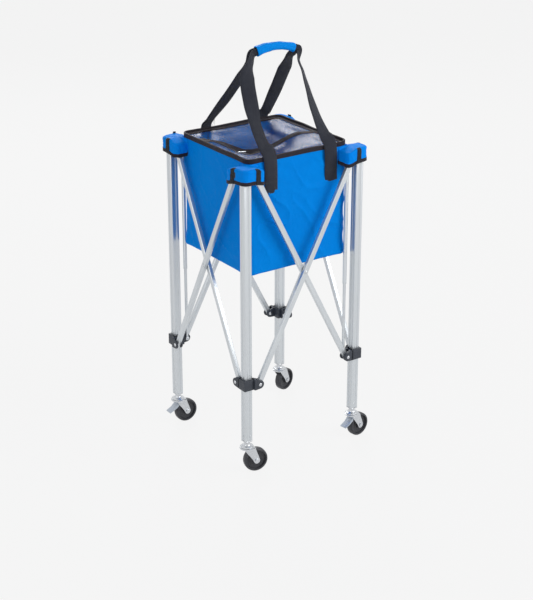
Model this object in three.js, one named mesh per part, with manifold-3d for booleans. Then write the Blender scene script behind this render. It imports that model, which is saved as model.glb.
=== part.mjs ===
// Folding ball cart: a square frame of four legs and scissor struts on swivel casters,
// which carries a soft bag with a zipped net lid and two webbing handles.
// Millimetres, +Z up, the front side of the frame faces -Y, floor at z = 0.
import * as THREE from 'three';
import { mergeVertices } from 'three/addons/utils/BufferGeometryUtils.js';
import Module from 'manifold-3d';

const wasm = await Module();
wasm.setup();

// Clearances
const gap = 0.3;
const runGap = 0.4;
const overrun = 6;
const weldShare = 1e-4;

// Leg tube
const legWidth = 25;
const legWall = 2.4;
const legLength = 845;
const legEdge = 1.5;
const grooveWidth = 7;
const grooveDepth = 1;

// Strut tube and where it hinges
const strutWidth = 16;
const strutThickness = 12;
const strutWall = 1.5;
const strutEdge = 1.2;
const strutEndLap = 9;
const strutSpace = 1;
const innerStrutOffset = 2;
const pivotReach = 33;
const sliderPivotHeight = 185;
const topPivotDrop = 22;
const pinRadius = 2.9;
const pinHeadRadius = 5.5;
const pinHeadHeight = 1.5;
const spacerRadius = 7;

// Moulded brackets: the slider runs on the leg, the top bracket is fixed on its end
const sliderHalf = 18.6;
const topHalf = 16;
const bracketEdge = 4;
const sleeveAbovePivot = 19;
const sleeveBelowPivot = 14;
const topCap = 4;
const lobeRadius = 13;
const cheekThickness = 4;
const cheekFoot = 13.5;
const slotStart = 20.3;

// Stay: a thin tube and the rod that slides in it, beside two of the legs
const stayAside = 9;
const stayTubeRadius = 6;
const stayBore = 4.8;
const stayRodRadius = 4.5;
const stayTubeShare = 0.63;
const stayRodShare = 0.53;
const stayEyeRadius = 6.5;
const stayEnd = 20;
const stayFlatStart = 18;
const stayFlatEnd = 26;

// Caster
const casterDrop = 69;
const trail = 27;
const wheelRadius = 37.5;
const wheelWidth = 24;
const treadWidth = 17;
const treadEdgeRadius = 34.5;
const webRadius = 29;
const webThickness = 9;
const hubRadius = 11;
const hubWidth = 25;
const hubWallSlope = 1.5;
const axleRadius = 4;
const axleHeadRadius = 6.8;
const axleHeadHeight = 3;
const forkThickness = 2.4;
const forkEyeRadius = 10;
const crownRadius = 22.4;
const crownTop = 22;
const crownThickness = 5;
const forkNeckTop = 24;
const kingpinRadius = 4.8;
const kingpinHeadRadius = 8;
const kingpinHeadHeight = 3;
const raceRadius = 20;
const raceNeckRadius = 10;
const raceHeight = 8;
const plugFlange = 3;
const plugLength = 32;
const pedalPinRadius = 2.5;
const pedalPinX = -1;
const pedalPinDrop = 35.5;
const pedalEyeRadius = 4.4;
const pedalThickness = 3;
const pedalReach = 37;
const pedalTipDrop = 62;
const pedalShoeX = -7;
const pedalShoeDrop = 47;

// Bag
const bagHalf = 177;
const bagToLeg = 22;
const bagCorner = 22;
const bagWall = 2;
const bagHeight = 338;
const bagAboveLeg = 8;
const rimHeight = 14;
const rimThickness = 6;
const rimOverhang = 1.5;
const lidThickness = 2;
const lidDrop = 6;
const floorThickness = 2;
const slitLeftShare = 0.52;
const slitRightShare = -0.17;
const zipSliderLength = 14;
const zipSliderWidth = 9;
const zipSliderHeight = 4;
const zipPullLength = 26;
const zipPullWidth = 6;
const zipPullThickness = 1.6;
const zipSliderShare = -0.35;

// Corner pockets of the bag, which sit over the leg tops
const pocketWall = 2;
const pocketHeight = 47;
const pocketReach = 57;
const pocketShoulder = 53;
const pocketCheek = 46;
const pocketOuterArmOut = 29.5;
const pocketInnerArmOut = 24;
const pocketCornerRadius = 28.5;

// Webbing handles and their grip
const webbingWidth = 44;
const webbingThickness = 2.4;
const strapToPocket = 7;
const strapShift = 8;
const rearStrapToPocket = 2;
const rearStrapShift = 16;
const strapFootTilt = 8;
const strapFootLength = 98;
const strapOffRim = 1;
const strapBendAboveRim = 5;
const gripLength = 134;
const gripCentreX = 40;
const handleRise = 248;
const gripRise = 9;
const gripHeight = 36;
const gripThickness = 24;
const gripBoreHeight = 31;
const gripBoreThickness = 16;
const strapInGrip = 25;
const strapPairSpace = 5;
const strapMouthShare = 1.4;
const strapSettledShare = 0.6;
const strapLeadShare = 1.2;
const strapGatheredShare = 0.72;

// Rest turn of each caster about its leg, and which of them have a brake pedal
const corners = [
  { name: 'front_left', casterTurnDeg: -12, brake: false, stay: false },
  { name: 'front_right', casterTurnDeg: 8, brake: true, stay: true },
  { name: 'rear_right', casterTurnDeg: 18, brake: false, stay: false },
  { name: 'rear_left', casterTurnDeg: 0, brake: true, stay: true },
];
const sides = ['front', 'right', 'rear', 'left'];

// Segment counts
const arcSegments = 4;
const pinSegments = 8;
const staySegments = 12;
const wheelSegments = 20;
const discSegments = 16;
const strapStations = 40;
const gripStations = 8;

// Derived places
const legHalf = legWidth / 2;
const legBottomZ = casterDrop + wheelRadius;
const legOffset = bagHalf + bagToLeg;
const legSpacing = 2 * legOffset;
const bagTop = legLength + bagAboveLeg;
const bagBottom = bagTop - bagHeight;
const pocketTop = bagTop;
const pocketBottom = pocketTop - pocketHeight;
const topPivotZ = legBottomZ + legLength - topPivotDrop;
const sliderPivotZ = legBottomZ + sliderPivotHeight;
const crossingZ = (topPivotZ + sliderPivotZ) / 2;
const spanX = legSpacing - 2 * pivotReach;
const spanZ = topPivotZ - sliderPivotZ;
const hingeLength = Math.hypot(spanX, spanZ);
const strutAngle = Math.atan2(spanX, spanZ);
const strutHalf = strutThickness / 2;
const outerStrutOffset = innerStrutOffset + strutThickness + strutSpace;

// Materials
const finish = (color, roughness, metalness) =>
  new THREE.MeshStandardMaterial({ color, roughness, metalness });
const aluminium = finish(0xc5cbd0, 0.35, 0.9);
const plastic = finish(0x3a3d47, 0.55, 0);
const zinc = finish(0xcdd3d6, 0.3, 1);
const rubber = finish(0x33343c, 0.7, 0);
const fabric = finish(0x0084e4, 0.8, 0);
const binding = finish(0x2e2830, 0.85, 0);
const netting = finish(0xb8bcc0, 0.9, 0);
const webbing = finish(0x383a42, 0.85, 0);

// A closed three.js geometry as a solid for joining and cutting
function solidOf(geometry) {
  const bare = geometry.clone();
  bare.deleteAttribute('normal');
  bare.deleteAttribute('uv');
  const merged = mergeVertices(bare, weldShare);
  return new wasm.Manifold(new wasm.Mesh({
    numProp: 3,
    vertProperties: new Float32Array(merged.attributes.position.array),
    triVerts: new Uint32Array(merged.index.array),
  }));
}

// A solid back as a flat-shaded geometry
function geometryOf(solid) {
  const mesh = solid.getMesh();
  const geometry = new THREE.BufferGeometry();
  geometry.setAttribute('position', new THREE.BufferAttribute(mesh.vertProperties, 3));
  geometry.setIndex(new THREE.BufferAttribute(mesh.triVerts, 1));
  const flat = geometry.toNonIndexed();
  flat.computeVertexNormals();
  return flat;
}

function addPiece(parent, name, solid, material) {
  const mesh = new THREE.Mesh(geometryOf(solid), material);
  mesh.name = name;
  parent.add(mesh);
  return mesh;
}

function joined(solids) {
  return solids.reduce((whole, next) => whole.add(next));
}

// Turns an extrusion so that it runs along an axis: its outline's two coordinates become
// the two other axes, x before y before z
function laid(geometry, low, high, along) {
  const basis = new THREE.Matrix4();
  const x = new THREE.Vector3(1, 0, 0);
  const y = new THREE.Vector3(0, 1, 0);
  const z = new THREE.Vector3(0, 0, 1);
  if (along === 'x') {
    basis.makeBasis(y, z, x);
    geometry.applyMatrix4(basis);
    geometry.translate(low, 0, 0);
  } else if (along === 'y') {
    basis.makeBasis(x, z, y.clone().negate());
    geometry.applyMatrix4(basis);
    geometry.translate(0, high, 0);
  } else {
    geometry.translate(0, 0, low);
  }
  return geometry;
}

function extruded(shape, low, high, along) {
  const settings = { depth: high - low, bevelEnabled: false, curveSegments: arcSegments };
  return solidOf(laid(new THREE.ExtrudeGeometry(shape, settings), low, high, along));
}

function outline(points) {
  return new THREE.Shape(points.map(([x, y]) => new THREE.Vector2(x, y)));
}

function block(lowX, highX, lowY, highY, lowZ, highZ) {
  const geometry = new THREE.BoxGeometry(highX - lowX, highY - lowY, highZ - lowZ);
  geometry.translate((lowX + highX) / 2, (lowY + highY) / 2, (lowZ + highZ) / 2);
  return solidOf(geometry);
}

// A round rod along an axis through a point in the plane of the two other axes
function rod(radius, low, high, along, centreA, centreB, segments = pinSegments) {
  const shape = new THREE.Shape();
  for (let i = 0; i < segments; i += 1) {
    const angle = ((i + 0.5) * 2 * Math.PI) / segments;
    const a = centreA + radius * Math.cos(angle);
    const b = centreB + radius * Math.sin(angle);
    if (i === 0) shape.moveTo(a, b);
    else shape.lineTo(a, b);
  }
  return extruded(shape, low, high, along);
}

// A square with its corners cut off
function chamferedSquare(halfA, halfB, edge) {
  return outline([
    [halfA, -halfB + edge], [halfA, halfB - edge], [halfA - edge, halfB],
    [-halfA + edge, halfB], [-halfA, halfB - edge], [-halfA, -halfB + edge],
    [-halfA + edge, -halfB], [halfA - edge, -halfB],
  ]);
}

function roundedSquare(half, radius) {
  const shape = new THREE.Shape();
  const inner = half - radius;
  shape.moveTo(half, -inner);
  shape.lineTo(half, inner);
  shape.absarc(inner, inner, radius, 0, Math.PI / 2, false);
  shape.lineTo(-inner, half);
  shape.absarc(-inner, inner, radius, Math.PI / 2, Math.PI, false);
  shape.lineTo(-half, -inner);
  shape.absarc(-inner, -inner, radius, Math.PI, 1.5 * Math.PI, false);
  shape.lineTo(inner, -half);
  shape.absarc(inner, -inner, radius, 1.5 * Math.PI, 2 * Math.PI, false);
  return shape;
}

// Rings of points joined into one closed skin, with flat ends
function lofted(rings) {
  const count = rings[0].length;
  const positions = rings.flat().flatMap((p) => [p.x, p.y, p.z]);
  const index = [];
  for (let r = 0; r + 1 < rings.length; r += 1) {
    for (let i = 0; i < count; i += 1) {
      const a = r * count + i;
      const b = r * count + ((i + 1) % count);
      index.push(a, b, b + count, a, b + count, a + count);
    }
  }
  const last = (rings.length - 1) * count;
  for (let i = 1; i + 1 < count; i += 1) {
    index.push(0, i + 1, i);
    index.push(last, last + i, last + i + 1);
  }
  const geometry = new THREE.BufferGeometry();
  geometry.setAttribute('position', new THREE.Float32BufferAttribute(positions, 3));
  geometry.setIndex(index);
  return solidOf(geometry);
}

// Leg: a square extruded tube with a shallow groove down the middle of each face
function legSolid() {
  const edge = legHalf - legEdge;
  const groove = grooveWidth / 2;
  const bed = legHalf - grooveDepth;
  const face = [[edge, -legHalf], [legHalf, -edge], [legHalf, -groove], [bed, -groove],
    [bed, groove], [legHalf, groove]];
  const points = [];
  for (let turn = 0; turn < 4; turn += 1) {
    const angle = (turn * Math.PI) / 2;
    for (const [x, y] of face) {
      points.push([
        x * Math.cos(angle) - y * Math.sin(angle),
        x * Math.sin(angle) + y * Math.cos(angle),
      ]);
    }
  }
  const shape = outline(points);
  const bore = legHalf - legWall;
  shape.holes.push(outline([[bore, -bore], [bore, bore], [-bore, bore], [-bore, -bore]]));
  return extruded(shape, 0, legLength, 'z');
}

// One clevis arm of a bracket, along x or y, for a strut in the inner or the outer plane.
// It is drawn about the pivot's height, with the outside of the frame at negative y or x.
function clevisArm(along, strutOffset, pivotZ) {
  const strutIn = strutOffset - strutHalf - gap;
  const strutOut = strutOffset + strutHalf + gap;
  const inside = strutIn - cheekThickness;
  const outside = Math.max(strutOut + cheekThickness, sliderHalf);
  const side = new THREE.Shape();
  side.moveTo(cheekFoot, pivotZ - sleeveBelowPivot);
  side.lineTo(cheekFoot, pivotZ + sleeveAbovePivot);
  side.lineTo(slotStart, pivotZ + sleeveAbovePivot);
  side.lineTo(pivotReach, pivotZ + lobeRadius);
  side.absarc(pivotReach, pivotZ, lobeRadius, Math.PI / 2, -Math.PI / 2, true);
  const across = along === 'x' ? 'y' : 'x';
  const arm = extruded(side, -outside, -inside, across);
  const slotEnd = pivotReach + lobeRadius + overrun;
  const slotLow = pivotZ - sleeveBelowPivot - overrun;
  const slotHigh = pivotZ + sleeveAbovePivot + overrun;
  const slot = along === 'x'
    ? block(slotStart, slotEnd, -strutOut, -strutIn, slotLow, slotHigh)
    : block(-strutOut, -strutIn, slotStart, slotEnd, slotLow, slotHigh);
  const pin = rod(pinRadius, -outside, -inside, across, pivotReach, pivotZ);
  const headOut = rod(
    pinHeadRadius, -outside - pinHeadHeight, -outside + pinHeadHeight, across,
    pivotReach, pivotZ,
  );
  const headIn = rod(
    pinHeadRadius, -inside - pinHeadHeight, -inside + pinHeadHeight, across,
    pivotReach, pivotZ,
  );
  return joined([arm.subtract(slot), pin, headOut, headIn]);
}

// Slider: a sleeve round the leg with two clevis arms, drawn with its pivots at z = 0
function sliderSolid() {
  const bore = legHalf + runGap;
  const low = -sleeveBelowPivot;
  const high = sleeveAbovePivot;
  const sleeve = extruded(chamferedSquare(sliderHalf, sliderHalf, legEdge), low, high, 'z');
  const cut = block(-bore, bore, -bore, bore, low - overrun, high + overrun);
  const armX = clevisArm('x', outerStrutOffset, 0);
  const armY = clevisArm('y', innerStrutOffset, 0);
  return joined([sleeve, armX, armY]).subtract(cut);
}

// Top bracket: a cap on the leg's end with two clevis arms, drawn with its pivots at z = 0
function topBracketSolid() {
  const bore = legHalf + gap;
  const low = -sleeveBelowPivot;
  const legEnd = topPivotDrop + gap;
  const high = legEnd + topCap;
  const cap = extruded(chamferedSquare(topHalf, topHalf, bracketEdge), low, high, 'z');
  const cut = block(-bore, bore, -bore, bore, low - overrun, legEnd);
  const armX = clevisArm('x', innerStrutOffset, 0);
  const armY = clevisArm('y', outerStrutOffset, 0);
  return joined([cap, armX, armY]).subtract(cut);
}

// Strut: a rectangular tube with three pin holes, drawn upright about its middle
function strutSolid() {
  const half = hingeLength / 2;
  const end = half + strutEndLap;
  const shape = chamferedSquare(strutWidth / 2, strutHalf, strutEdge);
  const boreA = strutWidth / 2 - strutWall;
  const boreB = strutHalf - strutWall;
  shape.holes.push(outline([
    [boreA, -boreB], [boreA, boreB], [-boreA, boreB], [-boreA, -boreB],
  ]));
  let strut = extruded(shape, -end, end, 'z');
  const hole = pinRadius + runGap;
  for (const z of [-half, 0, half]) {
    strut = strut.subtract(
      rod(hole, -strutHalf - overrun, strutHalf + overrun, 'y', 0, z),
    );
  }
  return strut;
}

// Stay tube: its eye turns on a long pin of the top bracket, drawn with that pin at z = 0
function stayTubeSolid() {
  const inside = stayAside - stayTubeRadius;
  const outside = stayAside + stayTubeRadius;
  const cheek = outerStrutOffset - strutHalf - gap - cheekThickness;
  const length = stayTubeShare * spanZ;
  const upright = (radius, low, high) =>
    rod(radius, low, high, 'z', stayAside, pivotReach, staySegments);
  const tube = upright(stayTubeRadius, -length, 0);
  const bore = upright(stayBore, -length - overrun, -stayEnd);
  const eye = rod(stayEyeRadius, inside, outside, 'x', pivotReach, 0, staySegments);
  const pin = rod(pinRadius, pinHeadHeight + gap - cheek, stayAside, 'x', pivotReach, 0);
  return joined([tube.subtract(bore), eye, pin]);
}

// Stay rod: its flattened end sits on the slider's pin, drawn with that pin at z = 0
function stayRodSolid() {
  const cheek = innerStrutOffset - strutHalf - gap - cheekThickness;
  const inside = pinHeadHeight + gap - cheek;
  const outside = stayAside + stayRodRadius;
  const length = stayRodShare * spanZ;
  const shaft = rod(
    stayRodRadius, stayFlatStart, length, 'z', stayAside, pivotReach, staySegments,
  );
  const half = stayRodRadius * Math.cos(Math.PI / staySegments);
  const flat = block(inside, outside, pivotReach - half, pivotReach + half, 0, stayFlatEnd);
  const rounding = rod(
    stayRodRadius, 0, stayFlatEnd, 'z', stayAside, pivotReach, staySegments,
  );
  const eye = rod(stayEyeRadius, inside, outside, 'x', pivotReach, 0, staySegments);
  return joined([shaft, flat.intersect(rounding), eye]);
}

// Crossing rivet with a spacer between the two struts, drawn at the crossing
function crossingRivetSolid() {
  const inner = -(innerStrutOffset - strutHalf - gap);
  const outer = -(outerStrutOffset + strutHalf + gap);
  const spacerIn = -(innerStrutOffset + strutHalf + gap);
  const spacerOut = -(outerStrutOffset - strutHalf - gap);
  return joined([
    rod(pinRadius, outer, inner, 'y', 0, 0),
    rod(spacerRadius, spacerOut, spacerIn, 'y', 0, 0),
    rod(pinHeadRadius, outer - pinHeadHeight, outer, 'y', 0, 0),
    rod(pinHeadRadius, inner, inner + pinHeadHeight, 'y', 0, 0),
  ]);
}

// Caster stem: a plug in the leg's end, the upper race and the kingpin, leg end at z = 0
function stemSolid() {
  const plugHalf = legHalf - legWall - gap;
  const raceLow = -crownTop + gap;
  const raceTop = raceLow + raceHeight;
  const pinLow = -crownTop - crownThickness - gap;
  const flange = extruded(
    chamferedSquare(legHalf, legHalf, legEdge), -plugFlange - gap, -gap, 'z',
  );
  const profile = [
    [0, pinLow - kingpinHeadHeight], [kingpinHeadRadius, pinLow - kingpinHeadHeight],
    [kingpinHeadRadius, pinLow], [kingpinRadius, pinLow], [kingpinRadius, raceLow],
    [raceRadius, raceLow], [raceRadius, raceLow + raceHeight / 3],
    [raceNeckRadius, raceTop], [raceNeckRadius, -plugFlange], [0, -plugFlange],
  ].map(([r, z]) => new THREE.Vector2(r, z));
  const race = new THREE.LatheGeometry(profile, discSegments);
  race.rotateX(Math.PI / 2);
  return joined([
    block(-plugHalf, plugHalf, -plugHalf, plugHalf, -plugFlange, plugLength),
    flange,
    solidOf(race),
  ]);
}

// Fork: a crown disc and two curved legs down to the axle, swivel axis at x = 0
function forkSolid(brake) {
  const legIn = hubWidth / 2 + gap;
  const legOut = legIn + forkThickness;
  const crownLow = -crownTop - crownThickness;
  const back = trail - forkEyeRadius / 2;
  const side = new THREE.Shape();
  side.moveTo(-forkEyeRadius, -forkNeckTop);
  side.lineTo(back, -forkNeckTop);
  side.lineTo(trail + forkEyeRadius, -casterDrop + forkEyeRadius / 3);
  side.absarc(trail, -casterDrop, forkEyeRadius, 0, -Math.PI * 0.75, true);
  side.quadraticCurveTo(
    trail / 3, -(casterDrop + crownTop) / 2, -forkEyeRadius / 2, -casterDrop / 2 - gap,
  );
  side.lineTo(-forkEyeRadius, -crownTop - forkEyeRadius);
  const pieces = [
    rod(crownRadius, crownLow, -crownTop, 'z', 0, 0, discSegments),
    block(-forkEyeRadius, back, -legOut, legOut, crownLow, -forkNeckTop),
    extruded(side, -legOut, -legIn, 'y'),
    extruded(side, legIn, legOut, 'y'),
  ];
  if (brake) {
    pieces.push(rod(pedalPinRadius, -legOut, legOut, 'y', pedalPinX, -pedalPinDrop));
  }
  return joined(pieces)
    .subtract(rod(
      kingpinRadius + runGap, crownLow - overrun, -crownTop + overrun, 'z', 0, 0, discSegments,
    ))
    .subtract(rod(
      axleRadius + runGap, -legOut - overrun, legOut + overrun, 'y', trail, -casterDrop,
    ));
}

// Brake pedal: a bent plate on a pin between the fork's legs
function pedalSolid() {
  const half = hubWidth / 2 - gap;
  const pinZ = -pedalPinDrop;
  const tipX = -pedalReach;
  const tipZ = -pedalTipDrop;
  const kneeX = (2 * pedalPinX + tipX) / 2;
  const kneeZ = (pinZ + 2 * tipZ) / 3;
  const plate = outline([
    [pedalPinX, pinZ + pedalPinRadius + gap], [pedalPinX - pedalEyeRadius, pinZ],
    [kneeX, kneeZ + pedalThickness], [tipX, tipZ + pedalThickness], [tipX, tipZ],
    [kneeX + pedalThickness, kneeZ], [pedalShoeX, -pedalShoeDrop],
    [pedalPinX, pinZ - pedalEyeRadius],
  ]);
  return extruded(plate, -half, half, 'y')
    .add(rod(pedalEyeRadius, -half, half, 'y', pedalPinX, pinZ))
    .subtract(rod(
      pedalPinRadius + runGap, -half - overrun, half + overrun, 'y', pedalPinX, pinZ,
    ));
}

// Wheel: hub, thin web and tyre, turned about y, with one flat of the tyre on the floor
function wheelSolid() {
  const bore = axleRadius + 2 * runGap;
  const halfHub = hubWidth / 2;
  const halfWheel = wheelWidth / 2;
  const halfTread = treadWidth / 2;
  const halfWeb = webThickness / 2;
  const facet = Math.cos(Math.PI / wheelSegments);
  const side = [
    [bore, halfHub], [hubRadius, halfHub], [hubRadius + hubWallSlope, halfWeb],
    [webRadius, halfWeb], [webRadius + hubWallSlope, halfWheel],
    [treadEdgeRadius, halfWheel], [wheelRadius / facet, halfTread],
  ];
  const profile = [
    ...side,
    ...side.slice().reverse().map(([r, y]) => [r, -y]),
    side[0],
  ].reverse().map(([r, y]) => new THREE.Vector2(r, y));
  const geometry = new THREE.LatheGeometry(profile, wheelSegments);
  geometry.rotateY(Math.PI / wheelSegments);
  return solidOf(geometry);
}

// Axle: a bolt through the fork and the wheel, with a head and a nut
function axleSolid() {
  const seat = hubWidth / 2 + forkThickness + 2 * gap;
  const end = seat + axleHeadHeight;
  return joined([
    rod(axleRadius, -end, end, 'y', 0, 0),
    rod(axleHeadRadius, -end, -seat, 'y', 0, 0),
    rod(axleHeadRadius, seat, end, 'y', 0, 0),
  ]);
}

// Corner pocket: a fabric cap, open below, drawn about the leg's centre line
function pocketOutline(inset) {
  const bagLine = legOffset - bagHalf - gap;
  const out = pocketOuterArmOut - inset;
  const innerArmOut = pocketInnerArmOut - inset;
  const reach = pocketReach - inset;
  const shoulder = pocketShoulder - inset;
  const slope = lobeRadius - pocketWall;
  const radius = pocketCornerRadius - inset;
  const bagCentre = legOffset - bagHalf + bagCorner;
  const shape = new THREE.Shape();
  shape.moveTo(reach, bagLine - inset);
  shape.lineTo(shoulder + pocketWall * 2, -slope);
  shape.lineTo(pocketCheek, -innerArmOut);
  shape.absarc(0, 0, radius, -Math.PI / 2, -Math.PI, true);
  shape.lineTo(-out, pocketCheek);
  shape.lineTo(pocketWall - out, shoulder);
  shape.lineTo(-out + slope, shoulder + 2 * pocketWall);
  shape.lineTo(bagLine - inset, reach);
  shape.absarc(
    bagCentre, bagCentre, bagCorner + gap + inset, Math.PI, 1.5 * Math.PI, false,
  );
  return shape;
}

function pocketSolid() {
  const low = pocketBottom;
  const high = pocketTop;
  return extruded(pocketOutline(0), low, high, 'z')
    .subtract(extruded(pocketOutline(pocketWall), low - overrun, high - pocketWall, 'z'));
}

// Bag walls, open above and below
function bagWallsSolid() {
  const shape = roundedSquare(bagHalf, bagCorner);
  shape.holes.push(roundedSquare(bagHalf - bagWall, bagCorner - bagWall));
  return extruded(shape, bagBottom, bagTop, 'z');
}

// Zip band round the rim
function rimSolid() {
  const outer = bagHalf + rimOverhang;
  const inner = outer - rimThickness;
  const low = bagTop + gap;
  const shape = roundedSquare(outer, bagCorner);
  shape.holes.push(roundedSquare(inner, bagCorner - rimThickness));
  return extruded(shape, low, low + rimHeight, 'z');
}

// Net lid, in two panels with a zipped slit between them
const lidHalf = bagHalf + rimOverhang - rimThickness - gap;
const lidTopZ = bagTop + gap + rimHeight - lidDrop;
const slitSlope = (slitRightShare - slitLeftShare) / 2;
const slitY = (x) => slitLeftShare * lidHalf + (x + lidHalf) * slitSlope;
const zipSliderX = zipSliderShare * lidHalf;

function lidSolid(front) {
  const corner = bagCorner - rimThickness;
  const low = lidTopZ - lidThickness;
  const sheet = extruded(roundedSquare(lidHalf, corner), low, lidTopZ, 'z');
  const sign = front ? 1 : -1;
  const far = 2 * lidHalf;
  const cutter = outline([
    [-far, slitY(-far) - (sign * gap) / 2], [far, slitY(far) - (sign * gap) / 2],
    [far, sign * far], [-far, sign * far],
  ]);
  return sheet.subtract(extruded(cutter, low - overrun, lidTopZ + overrun, 'z'));
}

// Bag floor, in two panels with a crease between them
function floorSolid(front) {
  const half = bagHalf - bagWall;
  const high = bagBottom - gap;
  const sheet = extruded(
    roundedSquare(half, bagCorner - bagWall), high - floorThickness, high, 'z',
  );
  const far = half + overrun;
  const edge = gap / 2;
  const low = high - floorThickness - overrun;
  const cutter = front
    ? block(-far, far, -edge, far, low, high + overrun)
    : block(-far, far, -far, edge, low, high + overrun);
  return sheet.subtract(cutter);
}

// Zip slider with its pull, on the slit, drawn along x about its own middle
function zipSliderSolid() {
  const halfLength = zipSliderLength / 2;
  const halfWidth = zipSliderWidth / 2;
  const pullHalf = zipPullWidth / 2;
  const body = block(-halfLength, halfLength, -halfWidth, halfWidth, 0, zipSliderHeight);
  const pull = block(
    0, zipPullLength, -pullHalf, pullHalf,
    zipSliderHeight - zipPullThickness, zipSliderHeight,
  );
  return body.add(pull);
}

// A strap's run above the rim, foot to grip: share of the rise, share of the way in to
// the grip, sideways bow as a share of the rise, and twist
const strapRunShares = {
  frontLeft: [[0.1, 0.06, -0.078, 16], [0.3, 0.22, -0.168, 12], [0.55, 0.44, -0.219, -19],
    [0.78, 0.68, -0.22, -24], [0.92, 0.86, -0.126, 13]],
  frontRight: [[0.1, 0.08, -0.037, -15], [0.35, 0.33, -0.052, -26],
    [0.6, 0.58, -0.031, -36], [0.76, 0.77, -0.003, -41], [0.87, 0.92, 0.015, -40]],
  rearLeft: [[0.08, 0.08, 0.002, 24], [0.4, 0.38, 0.05, 11], [0.7, 0.69, 0.041, 7],
    [0.88, 0.88, -0.01, 20]],
  rearRight: [[0.08, 0.08, 0.026, 0], [0.4, 0.38, 0.041, 13], [0.7, 0.69, 0.022, 16],
    [0.88, 0.88, 0.012, -2]],
};
const rimStrapZ = bagTop + gap + rimHeight + strapBendAboveRim;
const gripEndZ = rimStrapZ + handleRise;
const strapFootZ = bagTop - strapFootLength;
const farWebbingEdge = legOffset - pocketReach;
const strapReach = farWebbingEdge - strapToPocket - webbingWidth / 2 - strapShift;
const rearStrapReach = farWebbingEdge - rearStrapToPocket - webbingWidth / 2 - rearStrapShift;
const gripHalf = gripLength / 2;
const strapY = bagHalf + rimOverhang + gap + webbingThickness / 2;
const rimY = strapY + strapOffRim;
const gripPoint = (share, y) => new THREE.Vector3(
  gripCentreX + share * gripHalf, y, gripEndZ + gripRise * (1 - share * share),
);

// Stations along one half of a strap: point, twist and half width
function strapHalf(side, leftOrRight) {
  const sign = side === 'front' ? -1 : 1;
  const hand = leftOrRight === 'Left' ? -1 : 1;
  const footX = side === 'front'
    ? strapShift + hand * strapReach
    : rearStrapShift + hand * rearStrapReach;
  const rimX = footX + (side === 'front' ? -strapFootTilt : 0);
  const rise = gripEndZ - rimStrapZ;
  const inGripY = (sign * strapPairSpace) / 2 + (sign * webbingThickness) / 2;
  const target = gripPoint(hand, inGripY * strapMouthShare);
  const wide = webbingWidth / 2;
  const stations = [
    { at: new THREE.Vector3(footX, sign * strapY, strapFootZ), twistDeg: 0, half: wide },
    { at: new THREE.Vector3(rimX, sign * rimY, rimStrapZ), twistDeg: 0, half: wide },
  ];
  for (const [up, inward, bow, twistDeg] of strapRunShares[side + leftOrRight]) {
    const x = rimX + (target.x - rimX) * up + bow * rise;
    const y = sign * rimY + (target.y - sign * rimY) * inward;
    const z = rimStrapZ + (target.z - rimStrapZ) * up;
    stations.push({ at: new THREE.Vector3(x, y, z), twistDeg, half: wide });
  }
  stations[stations.length - 1].half = wide * strapGatheredShare;
  const before = gripPoint(hand * strapLeadShare, inGripY * strapLeadShare * strapMouthShare);
  const inGrip = gripPoint(hand * strapSettledShare, inGripY);
  stations.push({ at: before, twistDeg: 0, half: strapInGrip / 2 });
  stations.push({ at: target, twistDeg: 0, half: strapInGrip / 2 });
  stations.push({ at: inGrip, twistDeg: 0, half: strapInGrip / 2 });
  return stations;
}

// Handle strap: one webbing from foot to foot through the grip
function strapSolid(side) {
  const sign = side === 'front' ? -1 : 1;
  const left = strapHalf(side, 'Left');
  const right = strapHalf(side, 'Right').reverse();
  const inGripY = left[left.length - 1].at.y;
  const middle = { at: gripPoint(0, inGripY), twistDeg: 0, half: strapInGrip / 2 };
  const stations = [...left, middle, ...right];
  const curve = new THREE.CatmullRomCurve3(stations.map((s) => s.at), false, 'centripetal');
  const rings = [];
  const last = stations.length - 1;
  for (let i = 0; i <= strapStations; i += 1) {
    const t = i / strapStations;
    const point = curve.getPoint(t);
    const tangent = curve.getTangent(t);
    const from = stations[Math.min(Math.floor(t * last), last - 1)];
    const to = stations[Math.min(Math.floor(t * last) + 1, last)];
    const mix = t * last - Math.floor(Math.min(t * last, last - 1));
    const half = from.half + (to.half - from.half) * mix;
    const twist = THREE.MathUtils.degToRad(from.twistDeg + (to.twistDeg - from.twistDeg) * mix);
    const across = new THREE.Vector3(0, sign, 0).cross(tangent).normalize();
    across.applyAxisAngle(tangent, twist);
    const normal = tangent.clone().cross(across).normalize();
    const a = across.multiplyScalar(half);
    const n = normal.multiplyScalar(webbingThickness / 2);
    rings.push([
      point.clone().add(a).add(n), point.clone().sub(a).add(n),
      point.clone().sub(a).sub(n), point.clone().add(a).sub(n),
    ]);
  }
  return lofted(rings);
}

// Grip: a soft sleeve closed round both straps
function gripSleeve(height, thickness, lengthShare) {
  const rings = [];
  const tall = height / 2;
  const thick = thickness / 2;
  const edge = thick / 2;
  const section = [
    [thick, -tall + edge], [thick, tall - edge], [thick - edge, tall], [-thick + edge, tall],
    [-thick, tall - edge], [-thick, -tall + edge], [-thick + edge, -tall],
    [thick - edge, -tall],
  ];
  for (let i = 0; i <= gripStations; i += 1) {
    const share = ((2 * i) / gripStations - 1) * lengthShare;
    const centre = gripPoint(share, 0);
    const slope = (-2 * gripRise * share) / gripHalf;
    const up = new THREE.Vector3(-slope, 0, 1).normalize();
    rings.push(section.map(([y, z]) => new THREE.Vector3(
      centre.x + up.x * z, y, centre.z + up.z * z,
    )));
  }
  return lofted(rings);
}

function gripSolid() {
  const boreLengthShare = 1 + (2 * overrun) / gripLength;
  const bore = gripSleeve(gripBoreHeight, gripBoreThickness, boreLengthShare);
  return gripSleeve(gripHeight, gripThickness, 1).subtract(bore);
}

// Assembly
const group = new THREE.Group();
const quarter = Math.PI / 2;

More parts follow.
